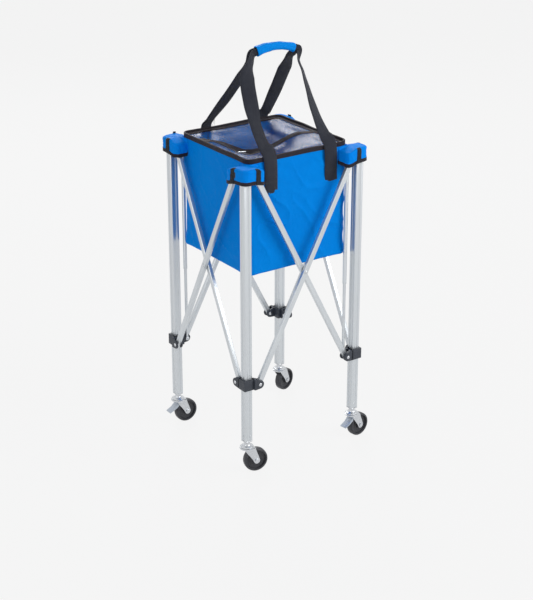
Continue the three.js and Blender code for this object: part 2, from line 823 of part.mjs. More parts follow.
const leg = legSolid();
const slider = sliderSolid();
const topBracket = topBracketSolid();
const stem = stemSolid();
const wheel = wheelSolid();
const axle = axleSolid();
const pedal = pedalSolid();
const pocket = pocketSolid();
const strut = strutSolid();
const stayTube = stayTubeSolid();
const stayRod = stayRodSolid();
const crossingRivet = crossingRivetSolid();

// Legs with their brackets, casters and pockets: each corner is the first one turned
corners.forEach(({ name, casterTurnDeg, brake, stay }, index) => {
  const corner = new THREE.Group();
  corner.rotation.z = index * quarter;
  group.add(corner);
  const onLeg = new THREE.Group();
  onLeg.position.set(-legOffset, -legOffset, 0);
  corner.add(onLeg);
  addPiece(onLeg, `leg_${name}`, leg, aluminium).position.z = legBottomZ;
  addPiece(onLeg, `top_bracket_${name}`, topBracket, plastic).position.z = topPivotZ;
  addPiece(onLeg, `slider_${name}`, slider, plastic).position.z = sliderPivotZ;
  addPiece(onLeg, `corner_pocket_${name}`, pocket, fabric).position.z = legBottomZ;
  if (stay) {
    addPiece(onLeg, `stay_tube_${name}`, stayTube, aluminium).position.z = topPivotZ;
    addPiece(onLeg, `stay_rod_${name}`, stayRod, aluminium).position.z = sliderPivotZ;
  }

  const caster = new THREE.Group();
  caster.position.z = legBottomZ;
  onLeg.add(caster);
  addPiece(caster, `caster_stem_${name}`, stem, zinc);
  const swivel = new THREE.Group();
  swivel.rotation.z = THREE.MathUtils.degToRad(casterTurnDeg) - index * quarter;
  caster.add(swivel);
  addPiece(swivel, `caster_fork_${name}`, forkSolid(brake), zinc);
  addPiece(swivel, `caster_axle_${name}`, axle, zinc).position.set(trail, 0, -casterDrop);
  addPiece(swivel, `caster_wheel_${name}`, wheel, rubber).position.set(trail, 0, -casterDrop);
  if (brake) addPiece(swivel, `brake_pedal_${name}`, pedal, zinc);
});

// Scissor struts: each side is the front one turned
sides.forEach((name, index) => {
  const side = new THREE.Group();
  side.rotation.z = index * quarter;
  group.add(side);
  const plane = new THREE.Group();
  plane.position.set(0, -legOffset, crossingZ);
  side.add(plane);
  const inner = addPiece(plane, `strut_${name}_inner`, strut, aluminium);
  inner.position.y = -innerStrutOffset;
  inner.rotation.y = -strutAngle;
  const outer = addPiece(plane, `strut_${name}_outer`, strut, aluminium);
  outer.position.y = -outerStrutOffset;
  outer.rotation.y = strutAngle;
  addPiece(plane, `crossing_rivet_${name}`, crossingRivet, zinc);
});

// Bag and handles, drawn from the leg's lower end
const bag = new THREE.Group();
bag.position.z = legBottomZ;
group.add(bag);
addPiece(bag, 'bag_walls', bagWallsSolid(), fabric);
addPiece(bag, 'bag_floor_front', floorSolid(true), fabric);
addPiece(bag, 'bag_floor_rear', floorSolid(false), fabric);
addPiece(bag, 'rim_band', rimSolid(), binding);
addPiece(bag, 'lid_net_front', lidSolid(true), netting);
addPiece(bag, 'lid_net_rear', lidSolid(false), netting);
const zipSlider = addPiece(bag, 'zip_slider', zipSliderSolid(), zinc);
zipSlider.position.set(zipSliderX, slitY(zipSliderX), lidTopZ + gap);
zipSlider.rotation.z = Math.atan(slitSlope);
addPiece(bag, 'handle_strap_front', strapSolid('front'), webbing);
addPiece(bag, 'handle_strap_rear', strapSolid('rear'), webbing);
addPiece(bag, 'handle_grip', gripSolid(), fabric);

// The middle of the whole cart's floor box is the origin
const box = new THREE.Box3().setFromObject(group, true);
group.position.x = -(box.min.x + box.max.x) / 2;
group.position.y = -(box.min.y + box.max.y) / 2;

export default group;
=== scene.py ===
# Folding ball cart: aluminium legs and scissor struts, black moulded brackets, swivel
# casters, and a blue fabric bag with a net lid and two webbing handles.
import math

import bmesh
import bpy
from mathutils import Matrix, Vector, noise


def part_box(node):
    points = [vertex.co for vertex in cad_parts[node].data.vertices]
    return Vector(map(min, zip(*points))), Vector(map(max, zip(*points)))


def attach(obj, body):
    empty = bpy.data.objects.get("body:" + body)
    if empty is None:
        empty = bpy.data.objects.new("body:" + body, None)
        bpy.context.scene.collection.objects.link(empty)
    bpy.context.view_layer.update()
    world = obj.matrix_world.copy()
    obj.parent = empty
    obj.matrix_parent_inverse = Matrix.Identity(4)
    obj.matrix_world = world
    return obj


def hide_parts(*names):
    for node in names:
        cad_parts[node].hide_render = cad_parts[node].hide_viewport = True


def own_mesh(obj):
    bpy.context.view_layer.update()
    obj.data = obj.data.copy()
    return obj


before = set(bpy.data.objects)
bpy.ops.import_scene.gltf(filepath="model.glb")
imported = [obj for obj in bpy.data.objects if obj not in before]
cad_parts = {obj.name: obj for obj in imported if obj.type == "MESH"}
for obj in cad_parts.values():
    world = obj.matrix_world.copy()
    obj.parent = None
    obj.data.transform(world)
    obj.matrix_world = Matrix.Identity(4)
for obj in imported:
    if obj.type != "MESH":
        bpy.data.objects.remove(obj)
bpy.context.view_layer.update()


# Studio: a pale floor that fills the view, a large soft lamp at the right, a weaker one
# at the left, one behind, and the camera where the photograph was taken from.
MM = 0.001
CORNERS = ("front_left", "front_right", "rear_right", "rear_left")
SIDES = ("front", "right", "rear", "left")


def foot_of(corner):
    low, high = (Vector(c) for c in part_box(f"leg_{corner}"))
    return Vector(((low.x + high.x) / 2, (low.y + high.y) / 2, low.z))


leg_foot = {corner: foot_of(corner) for corner in CORNERS}
centre = sum(leg_foot.values(), Vector()) / len(CORNERS)
leg_offset = centre.x - leg_foot["front_left"].x
ground = leg_foot["front_left"].z
origin = Vector((centre.x, centre.y, ground))

camera_azimuth = math.radians(-34.536)
camera_elevation = math.radians(22.483)
camera_back = Vector((math.sin(camera_azimuth) * math.cos(camera_elevation),
                      -math.cos(camera_azimuth) * math.cos(camera_elevation),
                      math.sin(camera_elevation)))
camera_right = Vector((math.cos(camera_azimuth), math.sin(camera_azimuth), 0))
camera_up = camera_back.cross(camera_right)
camera_from_centre = Vector((-2.396, -3.4957, 2.0952))
camera_data = bpy.data.cameras.new("camera")
camera_data.lens = 88.9
camera_data.sensor_width = 36
camera = bpy.data.objects.new("camera", camera_data)
bpy.context.collection.objects.link(camera)
camera.matrix_world = (
    Matrix.Translation(centre + camera_from_centre)
    @ Matrix((camera_right, camera_up, camera_back)).transposed().to_4x4())
bpy.context.scene.camera = camera
bpy.context.scene.view_settings.view_transform = "Standard"


def lamp(name, place, aim, size, watts):
    data = bpy.data.lights.new(name, "AREA")
    data.shape = "DISK"
    data.size = size
    data.energy = watts
    light = bpy.data.objects.new(name, data)
    bpy.context.collection.objects.link(light)
    light.location = place
    light.rotation_euler = (Vector(place) - Vector(aim)).to_track_quat("Z", "Y").to_euler()


lamp("key lamp", (2.4, -3.4, 3.0), (0, 0, 0.7), 3.2, 122)
lamp("fill lamp", (-3.8, -1.2, 2.0), (0, 0, 0.7), 3.0, 30)
lamp("back lamp", (1.7, 3.5, 3.1), (0, 0, 0.9), 2.2, 100)


def node(tree, kind, inputs=None, **settings):
    """A node with its settings. Each input is a socket to link, or a constant to set."""
    made = tree.nodes.new(kind)
    for name, value in settings.items():
        setattr(made, name, value)
    for name, value in (inputs or {}).items():
        if isinstance(value, bpy.types.NodeSocket):
            tree.links.new(value, made.inputs[name])
        else:
            made.inputs[name].default_value = value
    return made


def sum_of(tree, operation, *values):
    """A Math node on sockets or numbers; returns its output."""
    return node(tree, "ShaderNodeMath", dict(enumerate(values)), operation=operation).outputs[0]


def seen_ray(tree, share):
    """A share for rays that show the surroundings: straight, mirrored or through glass."""
    path = node(tree, "ShaderNodeLightPath")
    total = path.outputs["Is Camera Ray"]
    for kind in ("Is Glossy Ray", "Is Transmission Ray"):
        total = sum_of(tree, "MAXIMUM", total, path.outputs[kind])
    return sum_of(tree, "MULTIPLY", total, share)


PALE = (0.896, 0.896, 0.896, 1)
world = bpy.data.worlds.new("studio")
bpy.context.scene.world = world
world.use_nodes = True
sky = world.node_tree
sky_light = sky.nodes["Background"]
sky_light.inputs["Color"].default_value = (0.97, 0.985, 1.0, 1)
sky_light.inputs["Strength"].default_value = 0.46
sky_look = node(sky, "ShaderNodeBackground", {"Color": PALE})
sky_mix = node(sky, "ShaderNodeMixShader", {
    "Fac": seen_ray(sky, 1.0), 1: sky_light.outputs[0], 2: sky_look.outputs[0]})
sky.links.new(sky_mix.outputs[0], sky.nodes["World Output"].inputs["Surface"])

floor_size = 30
floor_mesh = bpy.data.meshes.new("studio_floor")
floor_mesh.from_pydata(
    [(-floor_size, -floor_size, 0), (floor_size, -floor_size, 0),
     (floor_size, floor_size, 0), (-floor_size, floor_size, 0)], [], [(0, 1, 2, 3)])
studio_floor = bpy.data.objects.new("studio_floor", floor_mesh)
studio_floor.location.z = -0.5 * MM
bpy.context.collection.objects.link(studio_floor)
floor_paint = bpy.data.materials.new("studio floor")
floor_paint.use_nodes = True
paint = floor_paint.node_tree
paint.nodes.remove(paint.nodes["Principled BSDF"])
floor_diffuse = node(paint, "ShaderNodeBsdfDiffuse", {"Color": (0.72, 0.72, 0.72, 1)})
floor_glow = node(paint, "ShaderNodeEmission", {"Color": (0.925, 0.925, 0.925, 1)})
floor_blend = node(paint, "ShaderNodeMixShader", {
    "Fac": seen_ray(paint, 0.95), 1: floor_diffuse.outputs[0], 2: floor_glow.outputs[0]})
paint.links.new(floor_blend.outputs[0], paint.nodes["Material Output"].inputs["Surface"])
floor_mesh.materials.append(floor_paint)


# Legs: four lengths of satin anodised square tube with a groove down each face. Each is
# the frame's own solid with its edges broken, streaked along its length by the die.
LEG_EDGE = 0.35 * MM


def node_group(name, inputs, outputs):
    """An empty shader group; inputs are (name, value) and outputs names."""
    group = bpy.data.node_groups.new(name, "ShaderNodeTree")
    for label, value in inputs:
        kind = "NodeSocketFloat" if isinstance(value, (int, float)) else "NodeSocketVector"
        socket = group.interface.new_socket(label, in_out="INPUT", socket_type=kind)
        if kind == "NodeSocketFloat":
            socket.default_value = value
    for label in outputs:
        group.interface.new_socket(label, in_out="OUTPUT", socket_type="NodeSocketFloat")
    return group, group.nodes.new("NodeGroupInput"), group.nodes.new("NodeGroupOutput")


def speckle(group, vector, scale, detail):
    """A noise texture's value, from 0 to 1, where scale is a socket or a number."""
    return node(group, "ShaderNodeTexNoise",
                {"Vector": vector, "Scale": scale, "Detail": detail}).outputs["Fac"]


# Streaks, smudges and fine grain for metal and plastic
surface_wear, wear_in, wear_out = node_group(
    "surface wear", [("Vector", ()), ("Streak scale", 1.0), ("Smudge scale", 14.0)],
    ["Streak", "Smudge", "Grain"])
surface_wear.links.new(
    speckle(surface_wear, wear_in.outputs["Vector"], wear_in.outputs["Streak scale"], 3.0),
    wear_out.inputs["Streak"])
surface_wear.links.new(
    speckle(surface_wear, wear_in.outputs["Vector"], wear_in.outputs["Smudge scale"], 4.0),
    wear_out.inputs["Smudge"])
surface_wear.links.new(
    speckle(surface_wear, wear_in.outputs["Vector"], 2600.0, 1.0), wear_out.inputs["Grain"])


class Finish:
    """One Principled material, and the small steps that its look is wired from."""

    def __init__(self, name, colour, roughness, metallic=0.0):
        self.material = bpy.data.materials.new(name)
        self.material.use_nodes = True
        self.tree = self.material.node_tree
        self.shader = self.tree.nodes["Principled BSDF"]
        self.colour = colour
        self.shader.inputs["Base Color"].default_value = (*colour, 1)
        self.shader.inputs["Roughness"].default_value = roughness
        self.shader.inputs["Metallic"].default_value = metallic

    def coordinates(self, scale=(1, 1, 1), turn=(0, 0, 0), kind="Object"):
        source = node(self.tree, "ShaderNodeTexCoord")
        return node(self.tree, "ShaderNodeMapping", {
            "Scale": scale, "Rotation": turn, "Vector": source.outputs[kind]}).outputs[0]

    def group(self, tree, vector, **values):
        made = node(self.tree, "ShaderNodeGroup", node_tree=tree)
        self.tree.links.new(vector, made.inputs["Vector"])
        for name, value in values.items():
            made.inputs[name.replace("_", " ")].default_value = value
        return made.outputs

    def span(self, socket, low, high, start=0.3, end=0.7):
        """Maps a mask from start..end to low..high."""
        return node(self.tree, "ShaderNodeMapRange", {
            "From Min": start, "From Max": end, "To Min": low, "To Max": high,
            "Value": socket}).outputs["Result"]

    def tint(self, socket, colour, into=None):
        """Mixes a colour over the base colour, or into another mix, by a mask."""
        mixed = node(self.tree, "ShaderNodeMix", {
            "A": into or (*self.colour, 1), "B": (*colour, 1), "Factor": socket},
            data_type="RGBA").outputs["Result"]
        self.feed("Base Color", mixed)
        return mixed

    def feed(self, name, socket):
        self.tree.links.new(socket, self.shader.inputs[name])

    def bump(self, height, depth, after=None):
        raised = node(self.tree, "ShaderNodeBump", {"Distance": depth, "Height": height})
        if after is not None:
            self.tree.links.new(after, raised.inputs["Normal"])
        self.feed("Normal", raised.outputs["Normal"])
        return raised.outputs["Normal"]


def drawn_aluminium(name, turn=(0, 0, 0)):
    """Satin aluminium with die streaks along its own length."""
    finish = Finish(name, (0.66, 0.69, 0.715), 0.36, 0.8)
    wear = finish.group(surface_wear, finish.coordinates((1, 1, 0.012), turn),
                        Streak_scale=900.0, Smudge_scale=25.0)
    finish.feed("Roughness", finish.span(wear["Streak"], 0.27, 0.42))
    finish.tint(finish.span(wear["Smudge"], 0.0, 0.5, 0.35, 0.75), (0.56, 0.595, 0.63))
    finish.bump(wear["Streak"], 0.03 * MM)
    return finish.material


def add_piece(name, mesh, material, body, stands_for=None):
    """Puts a piece on its body and hides the frame's node that it stands for."""
    piece = bpy.data.objects.new(name, mesh)
    bpy.context.collection.objects.link(piece)
    mesh.materials.clear()
    mesh.materials.append(material)
    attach(piece, body)
    if stands_for:
        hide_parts(stands_for)
    return piece


def smooth(mesh, sharp_degrees=35):
    for polygon in mesh.polygons:
        polygon.use_smooth = True
    mesh.set_sharp_from_angle(angle=math.radians(sharp_degrees))


def sharp_edges(shape, angle):
    return [edge for edge in shape.edges if edge.calc_face_angle(0) > angle]


def bevelled(shape, edges, width, **how):
    bmesh.ops.bevel(shape, geom=edges, offset=width, affect="EDGES", clamp_overlap=True, **how)


def as_mesh(name, shape, sharp_degrees=35):
    """A mesh from a bmesh, which is freed."""
    mesh = bpy.data.meshes.new(name)
    shape.to_mesh(mesh)
    shape.free()
    smooth(mesh, sharp_degrees)
    return mesh


def broken_edges(part, width):
    """A node's own shape with its flat faces joined up and its edges rounded."""
    shape = bmesh.new()
    shape.from_mesh(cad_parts[part].data)
    bmesh.ops.remove_doubles(shape, verts=shape.verts, dist=0.002 * MM)
    bmesh.ops.dissolve_limit(shape, angle_limit=math.radians(0.5), verts=shape.verts,
                             edges=shape.edges)
    bevelled(shape, sharp_edges(shape, math.radians(25)), width, segments=2, profile=0.5)
    bmesh.ops.triangulate(shape, faces=[f for f in shape.faces if len(f.verts) > 4])
    return as_mesh(part, shape, 30)


leg_aluminium = drawn_aluminium("drawn aluminium")
for corner in CORNERS:
    add_piece(f"leg_tube_{corner}", broken_edges(f"leg_{corner}", LEG_EDGE),
              leg_aluminium, f"frame_{corner}", f"leg_{corner}")


# Struts: eight flatter tubes of the same metal, two to a side, drilled for the rivets.
STRUT_EDGE = 0.3 * MM
strut_low, strut_high = (Vector(c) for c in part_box("strut_front_inner"))
strut_angle = math.atan2(strut_high.x - strut_low.x, strut_high.z - strut_low.z)
for index, side in enumerate(SIDES):
    for plane, lean in (("inner", 1), ("outer", -1)):
        quarter = index * math.pi / 2
        turn = (Matrix.Rotation(quarter, 3, "Z")
                @ Matrix.Rotation(-lean * strut_angle, 3, "Y")).inverted().to_euler()
        strut = f"strut_{side}_{plane}"
        add_piece(f"strut_tube_{side}_{plane}", broken_edges(strut, STRUT_EDGE),
                  drawn_aluminium(f"drawn aluminium {side} {plane}", turn), strut,
                  strut)


# Brackets: black glass-filled nylon mouldings. The sliders run on the legs and the top
# ones cap them; both hold the struts between cheeks with rounded ends.
PIVOT_REACH = 33 * MM
PIN_HEAD = 5.5 * MM
SLEEVE_LOW = -14 * MM
SLEEVE_HIGH = 19 * MM
SLEEVE_HALF = 18.6 * MM
TOP_HALF = 16 * MM
TOP_HIGH = 26.3 * MM
TOP_CAP = 4 * MM
BRACKET_BORE = 12.9 * MM
LOBE = 13 * MM
SLOT = 20.3 * MM
CHEEK_FOOT = 13.5 * MM
CHEEK = 4 * MM
BOSS_RAISED = 0.5 * MM
BOSS_WIDER = 1.6 * MM
STRUT_GAP = 0.3 * MM
STRUT_HALF = 6 * MM
strut_offsets = {"inner": 2 * MM, "outer": 15 * MM}

nylon_finish = Finish("glass filled nylon", (0.026, 0.032, 0.045), 0.5)
nylon_wear = nylon_finish.group(surface_wear, nylon_finish.coordinates(),
                                Streak_scale=420.0, Smudge_scale=60.0)
nylon_finish.feed("Roughness", nylon_finish.span(nylon_wear["Smudge"], 0.38, 0.6))
nylon_finish.tint(nylon_finish.span(nylon_wear["Streak"], 0.0, 0.35), (0.052, 0.06, 0.076))
nylon_finish.bump(nylon_wear["Grain"], 0.08 * MM,
                  nylon_finish.bump(nylon_wear["Streak"], 0.05 * MM))
nylon = nylon_finish.material


def prism(shape, outline, low, high, axes):
    """Adds an extruded outline to a bmesh. axes maps (first, second, depth) to x, y, z."""
    def point(a, b, c):
        place = [0.0, 0.0, 0.0]
        for axis, value in zip(axes, (a, b, c)):
            place["xyz".index(axis)] = value
        return place
    floor = [shape.verts.new(point(a, b, low)) for a, b in outline]
    roof = [shape.verts.new(point(a, b, high)) for a, b in outline]
    faces = [shape.faces.new(floor), shape.faces.new(roof)]
    for i in range(len(outline)):
        j = (i + 1) % len(outline)
        faces.append(shape.faces.new((floor[i], floor[j], roof[j], roof[i])))
    bmesh.ops.recalc_face_normals(shape, faces=faces)
    return faces


def square_ring(half, edge):
    return [(half, edge - half), (half, half - edge), (half - edge, half),
            (edge - half, half), (-half, half - edge), (-half, edge - half),
            (edge - half, -half), (half - edge, -half)]


def arc(centre_a, centre_b, radius, start, end, steps):
    turns = [math.radians(start + (end - start) * i / steps) for i in range(steps + 1)]
    return [(centre_a + radius * math.cos(t), centre_b + radius * math.sin(t))
            for t in turns]


def arms_of(top):
    """Each arm of a bracket: its way, the way across it and where its cheeks stand."""
    arms = []
    for along, across, plane in (("x", "y", "inner" if top else "outer"),
                                 ("y", "x", "outer" if top else "inner")):
        slot_in = strut_offsets[plane] - STRUT_HALF - STRUT_GAP
        slot_out = strut_offsets[plane] + STRUT_HALF + STRUT_GAP
        arms.append((along, across, slot_in, slot_out, max(slot_out + CHEEK, SLEEVE_HALF)))
    return arms


def bracket_mesh(name, top):
    """One bracket about the leg's centre line, pivots at z = 0, arms along +X and +Y."""
    shape = bmesh.new()
    outer = square_ring(TOP_HALF, TOP_CAP) if top else square_ring(SLEEVE_HALF, 1.5 * MM)
    high = SLEEVE_HIGH
    if top:
        high = TOP_HIGH - TOP_CAP
        prism(shape, outer, high, TOP_HIGH, "xyz")
    for a, b in zip(outer, outer[1:] + outer[:1]):
        inner_a = tuple(max(-BRACKET_BORE, min(BRACKET_BORE, v)) for v in a)
        inner_b = tuple(max(-BRACKET_BORE, min(BRACKET_BORE, v)) for v in b)
        wall = [a, b, inner_b, inner_a] if inner_a != inner_b else [a, b, inner_b]
        prism(shape, wall, SLEEVE_LOW, high, "xyz")
    bmesh.ops.remove_doubles(shape, verts=shape.verts, dist=0.001 * MM)
    lobe = arc(PIVOT_REACH, 0, LOBE, 90, -90, 18)
    profile = [(SLOT, SLEEVE_LOW), (SLOT, SLEEVE_HIGH)] + lobe
    foot = [(CHEEK_FOOT, SLEEVE_LOW), (CHEEK_FOOT, SLEEVE_HIGH), (SLOT, SLEEVE_HIGH),
            (SLOT, SLEEVE_LOW)]
    for along, across, slot_in, slot_out, outside in arms_of(top):
        axes = along + "z" + across
        prism(shape, foot, -outside, CHEEK - slot_in, axes)
        prism(shape, profile, -outside, -slot_out, axes)
        prism(shape, profile, -slot_in, CHEEK - slot_in, axes)
        # A raised boss round the rivet on the outer cheek
        boss = arc(PIVOT_REACH, 0, PIN_HEAD + BOSS_WIDER, 0, 360, 24)[:-1]
        prism(shape, boss, -outside - BOSS_RAISED, -outside + BOSS_RAISED, axes)
    bevelled(shape, sharp_edges(shape, math.radians(40)), 0.6 * MM, segments=2, profile=0.5)
    return as_mesh(name, shape, 30)


def corner_frame(corner, height):
    """Takes a piece drawn for the front left corner about its leg to that corner."""
    quarter = CORNERS.index(corner) * math.pi / 2
    foot = leg_foot[corner]
    return (Matrix.Translation((foot.x, foot.y, foot.z + height))
            @ Matrix.Rotation(quarter, 4, "Z"))


top_pivot = 823 * MM
slider_pivot = 185 * MM
bracket_shapes = {"slider": bracket_mesh("slider moulding", False),
                  "top_bracket": bracket_mesh("top moulding", True)}
bracket_bodies = {"slider": "slider_", "top_bracket": "frame_"}
for corner in CORNERS:
    for kind, height in (("slider", slider_pivot), ("top_bracket", top_pivot)):
        mesh = bracket_shapes[kind].copy()
        mesh.transform(corner_frame(corner, height))
        add_piece(f"{kind}_moulding_{corner}", mesh, nylon, bracket_bodies[kind] + corner,
                  f"{kind}_{corner}")


# Rivets: zinc-plated steel with low domed heads, one through every pivot of a bracket
# and one, with a spacer washer between the tubes, where two struts cross.
zinc_finish = Finish("zinc plate", (0.66, 0.68, 0.7), 0.28, 1.0)
zinc_wear = zinc_finish.group(surface_wear, zinc_finish.coordinates(),
                              Streak_scale=300.0, Smudge_scale=110.0)
zinc_finish.feed("Roughness", zinc_finish.span(zinc_wear["Smudge"], 0.18, 0.42))
zinc_finish.tint(zinc_finish.span(zinc_wear["Streak"], 0.0, 0.6), (0.5, 0.52, 0.56))
zinc_finish.bump(zinc_wear["Streak"], 0.04 * MM)
zinc = zinc_finish.material


def geometry_tree(name, sizes):
    """A Geometry Nodes tree with a geometry input, named sizes and a material."""
    tree = bpy.data.node_groups.new(name, "GeometryNodeTree")
    tree.interface.new_socket("Geometry", in_out="INPUT", socket_type="NodeSocketGeometry")
    for label, value in sizes:
        kind = "NodeSocketInt" if isinstance(value, int) else "NodeSocketFloat"
        socket = tree.interface.new_socket(label, in_out="INPUT", socket_type=kind)
        socket.default_value = value
    tree.interface.new_socket("Material", in_out="INPUT", socket_type="NodeSocketMaterial")
    tree.interface.new_socket("Geometry", in_out="OUTPUT", socket_type="NodeSocketGeometry")
    return tree, tree.nodes.new("NodeGroupInput"), tree.nodes.new("NodeGroupOutput")


def finish_tree(tree, instances, group_in, group_out):
    realized = node(tree, "GeometryNodeRealizeInstances", {0: instances})
    painted = node(tree, "GeometryNodeSetMaterial", {
        "Geometry": realized.outputs[0], "Material": group_in.outputs["Material"]})
    tree.links.new(painted.outputs[0], group_out.inputs["Geometry"])


def grown(name, carrier, tree, material, body, slot, **sizes):
    """Runs a tree on a carrier, keeps the result as a plain mesh and drops the carrier."""
    holder = bpy.data.objects.new(f"{name}_carrier", carrier)
    bpy.context.collection.objects.link(holder)
    modifier = holder.modifiers.new("grow", "NODES")
    modifier.node_group = tree
    for item in tree.interface.items_tree:
        if item.in_out == "INPUT" and item.socket_type != "NodeSocketGeometry":
            key = item.name.replace(" ", "_").lower()
            if item.name == "Material":
                modifier[item.identifier] = material
            elif key in sizes:
                modifier[item.identifier] = sizes[key]
    graph = bpy.context.evaluated_depsgraph_get()
    mesh = bpy.data.meshes.new_from_object(holder.evaluated_get(graph))
    holder.modifiers.remove(modifier)
    bpy.data.objects.remove(holder)
    mesh.name = name
    smooth(mesh, 40)
    return add_piece(name, mesh, material, body)


# Domed heads on points that carry the way they face
head_tree, head_in, head_out = geometry_tree(
    "rivet heads", [("Head radius", 5.5 * MM), ("Head height", 1.5 * MM)])
head_ball = node(head_tree, "GeometryNodeMeshUVSphere", {
    "Segments": 24, "Rings": 10, "Radius": head_in.outputs["Head radius"]})
head_share = sum_of(head_tree, "DIVIDE", head_in.outputs["Head height"],
                    head_in.outputs["Head radius"])
head_scale = node(head_tree, "ShaderNodeCombineXYZ", {"X": 1, "Y": 1, "Z": head_share})
head_facing = node(head_tree, "GeometryNodeInputNamedAttribute", {"Name": "facing"},
                   data_type="FLOAT_VECTOR")
head_turn = node(head_tree, "FunctionNodeAlignRotationToVector", {
    "Vector": head_facing.outputs["Attribute"]}, axis="Z")
head_place = node(head_tree, "GeometryNodeInstanceOnPoints", {
    "Points": head_in.outputs["Geometry"], "Instance": head_ball.outputs["Mesh"],
    "Rotation": head_turn.outputs["Rotation"], "Scale": head_scale.outputs["Vector"]})
finish_tree(head_tree, head_place.outputs["Instances"], head_in, head_out)


def points_facing(places):
    """A mesh of loose points with a facing attribute, from (place, way) pairs."""
    mesh = bpy.data.meshes.new("points")
    mesh.from_pydata([place for place, _ in places], [], [])
    facing = mesh.attributes.new("facing", "FLOAT_VECTOR", "POINT")
    facing.data.foreach_set("vector", [v for _, way in places for v in way])
    return mesh


def heads_of(frame_at, top):
    """Both heads of both pins of a bracket."""
    places = []
    turn = frame_at.to_3x3()
    for along, _, slot_in, _, outside in arms_of(top):
        for offset, way in ((-outside - BOSS_RAISED, -1), (CHEEK - slot_in, 1)):
            if along == "x":
                place, facing = (PIVOT_REACH, offset, 0), (0, way, 0)
            else:
                place, facing = (offset, PIVOT_REACH, 0), (way, 0, 0)
            places.append((frame_at @ Vector(place), turn @ Vector(facing)))
    return points_facing(places)


for corner in CORNERS:
    for kind, height in (("slider", slider_pivot), ("top_bracket", top_pivot)):
        grown(f"{kind}_rivets_{corner}",
              heads_of(corner_frame(corner, height), kind == "top_bracket"), head_tree, zinc,
              bracket_bodies[kind] + corner, "zinc", head_radius=5.2 * MM,
              head_height=1.4 * MM)


def lathe(name, profile, segments=40, axis="z"):
    """A turned mesh from (radius, height) pairs in millimetres, ending on the axis or not."""
    shape = bmesh.new()
    rings = []
    for radius, height in profile:
        radius, height = radius * MM, height * MM
        if not radius:
            rings.append([shape.verts.new((0, 0, height))])
        else:
            rings.append([shape.verts.new((radius * math.cos(2 * math.pi * i / segments),
                                           radius * math.sin(2 * math.pi * i / segments),
                                           height)) for i in range(segments)])
    pairs = list(zip(rings, rings[1:]))
    if profile[0][0]:
        pairs.append((rings[-1], rings[0]))
    for first, second in pairs:
        for i in range(segments):
            j = (i + 1) % segments
            corners = [first[i % len(first)], first[j % len(first)],
                       second[j % len(second)], second[i % len(second)]]
            unique = list(dict.fromkeys(corners))
            if len(unique) > 2:
                shape.faces.new(unique)
    bmesh.ops.recalc_face_normals(shape, faces=shape.faces)
    if axis == "y":
        bmesh.ops.rotate(shape, verts=shape.verts, matrix=Matrix.Rotation(math.pi / 2, 3, "X"))
    return as_mesh(name, shape, 32)


def side_frame(side, height):
    """Takes a piece drawn for the middle of the front side to any side."""
    quarter = SIDES.index(side) * math.pi / 2
    return (Matrix.Translation((centre.x, centre.y, ground + height))
            @ Matrix.Rotation(quarter, 4, "Z")
            @ Matrix.Translation((0, -leg_offset, 0)))


crossing = (top_pivot + slider_pivot) / 2
# From the inner head, along the rod, out to the outer head: domes, rod and spacer
crossing_profile = [
    (0, -6.0), (2.6, -5.8), (4.6, -5.2), (5.4, -4.5), (5.4, -4.3), (2.9, -4.3), (2.9, 8.3),
    (7, 8.3), (7, 8.7), (2.9, 8.7), (2.9, 21.3), (5.4, 21.3), (5.4, 21.5), (4.6, 22.2),
    (2.6, 22.8), (0, 23.0)]
for side in SIDES:
    mesh = lathe(f"crossing rivet {side}", crossing_profile, 28, "y")
    mesh.transform(side_frame(side, crossing))
    add_piece(f"crossing_rivet_turned_{side}", mesh, zinc, f"strut_{side}_inner",
              f"crossing_rivet_{side}")


# Caster stems: a pressed steel upper race and kingpin under a square plug that is
# pushed into the leg. The race stands just clear of the fork's crown.
LEG_HALF = 12.5 * MM
LEG_CORNER = 1.5 * MM
PLUG_HALF = 9.8 * MM
PLUG_CORNER = 0.8 * MM
PLUG_LONG = 32 * MM
PLUG_RIVET_Z = 15 * MM
PLUG_RIVET_ASIDE = 4.5 * MM
stem_profile = [
    (0, -30.3), (5.5, -30.3), (7.2, -29.6), (8, -28.4), (8, -27.3), (4.8, -27.3),
    (4.8, -21.7), (19.4, -21.7), (20, -21.2), (20, -19.6), (18.8, -18.4), (15.4, -17.2),
    (12.2, -15.6), (10.2, -13.7), (9.4, -12), (9.2, -6), (10, -4), (10, -3), (0, -3)]
stem_mesh = lathe("caster stem", stem_profile)
plug_flange = square_ring(LEG_HALF, LEG_CORNER)
plug_body = square_ring(PLUG_HALF, PLUG_CORNER)
plug = bmesh.new()
prism(plug, plug_flange, -3.3 * MM, -0.3 * MM, "xyz")
prism(plug, plug_body, -1 * MM, PLUG_LONG, "xyz")
bevelled(plug, list(plug.edges), 0.3 * MM, segments=1)
plug_mesh = as_mesh("caster plug", plug)


def joined(name, *meshes):
    whole = bmesh.new()
    for mesh in meshes:
        whole.from_mesh(mesh)
    return as_mesh(name, whole, 32)


stem_whole = joined("caster stem and plug", stem_mesh, plug_mesh)
for corner in CORNERS:
    mesh = stem_whole.copy()
    mesh.transform(corner_frame(corner, 0))
    add_piece(f"caster_stem_turned_{corner}", mesh, zinc, f"frame_{corner}",
              f"caster_stem_{corner}")


# Two small rivets pin each plug through the outer faces of its leg
for corner in CORNERS:
    at = corner_frame(corner, PLUG_RIVET_Z)
    half = LEG_HALF + 0.1 * MM
    pins = [(at @ Vector(place), at.to_3x3() @ Vector(way)) for place, way in (
        ((-half, PLUG_RIVET_ASIDE, 0), (-1, 0, 0)),
        ((PLUG_RIVET_ASIDE, -half, 0), (0, -1, 0)))]
    grown(f"plug_rivets_{corner}", points_facing(pins), head_tree, zinc, f"frame_{corner}",
          "zinc", head_radius=2.4 * MM, head_height=0.9 * MM)


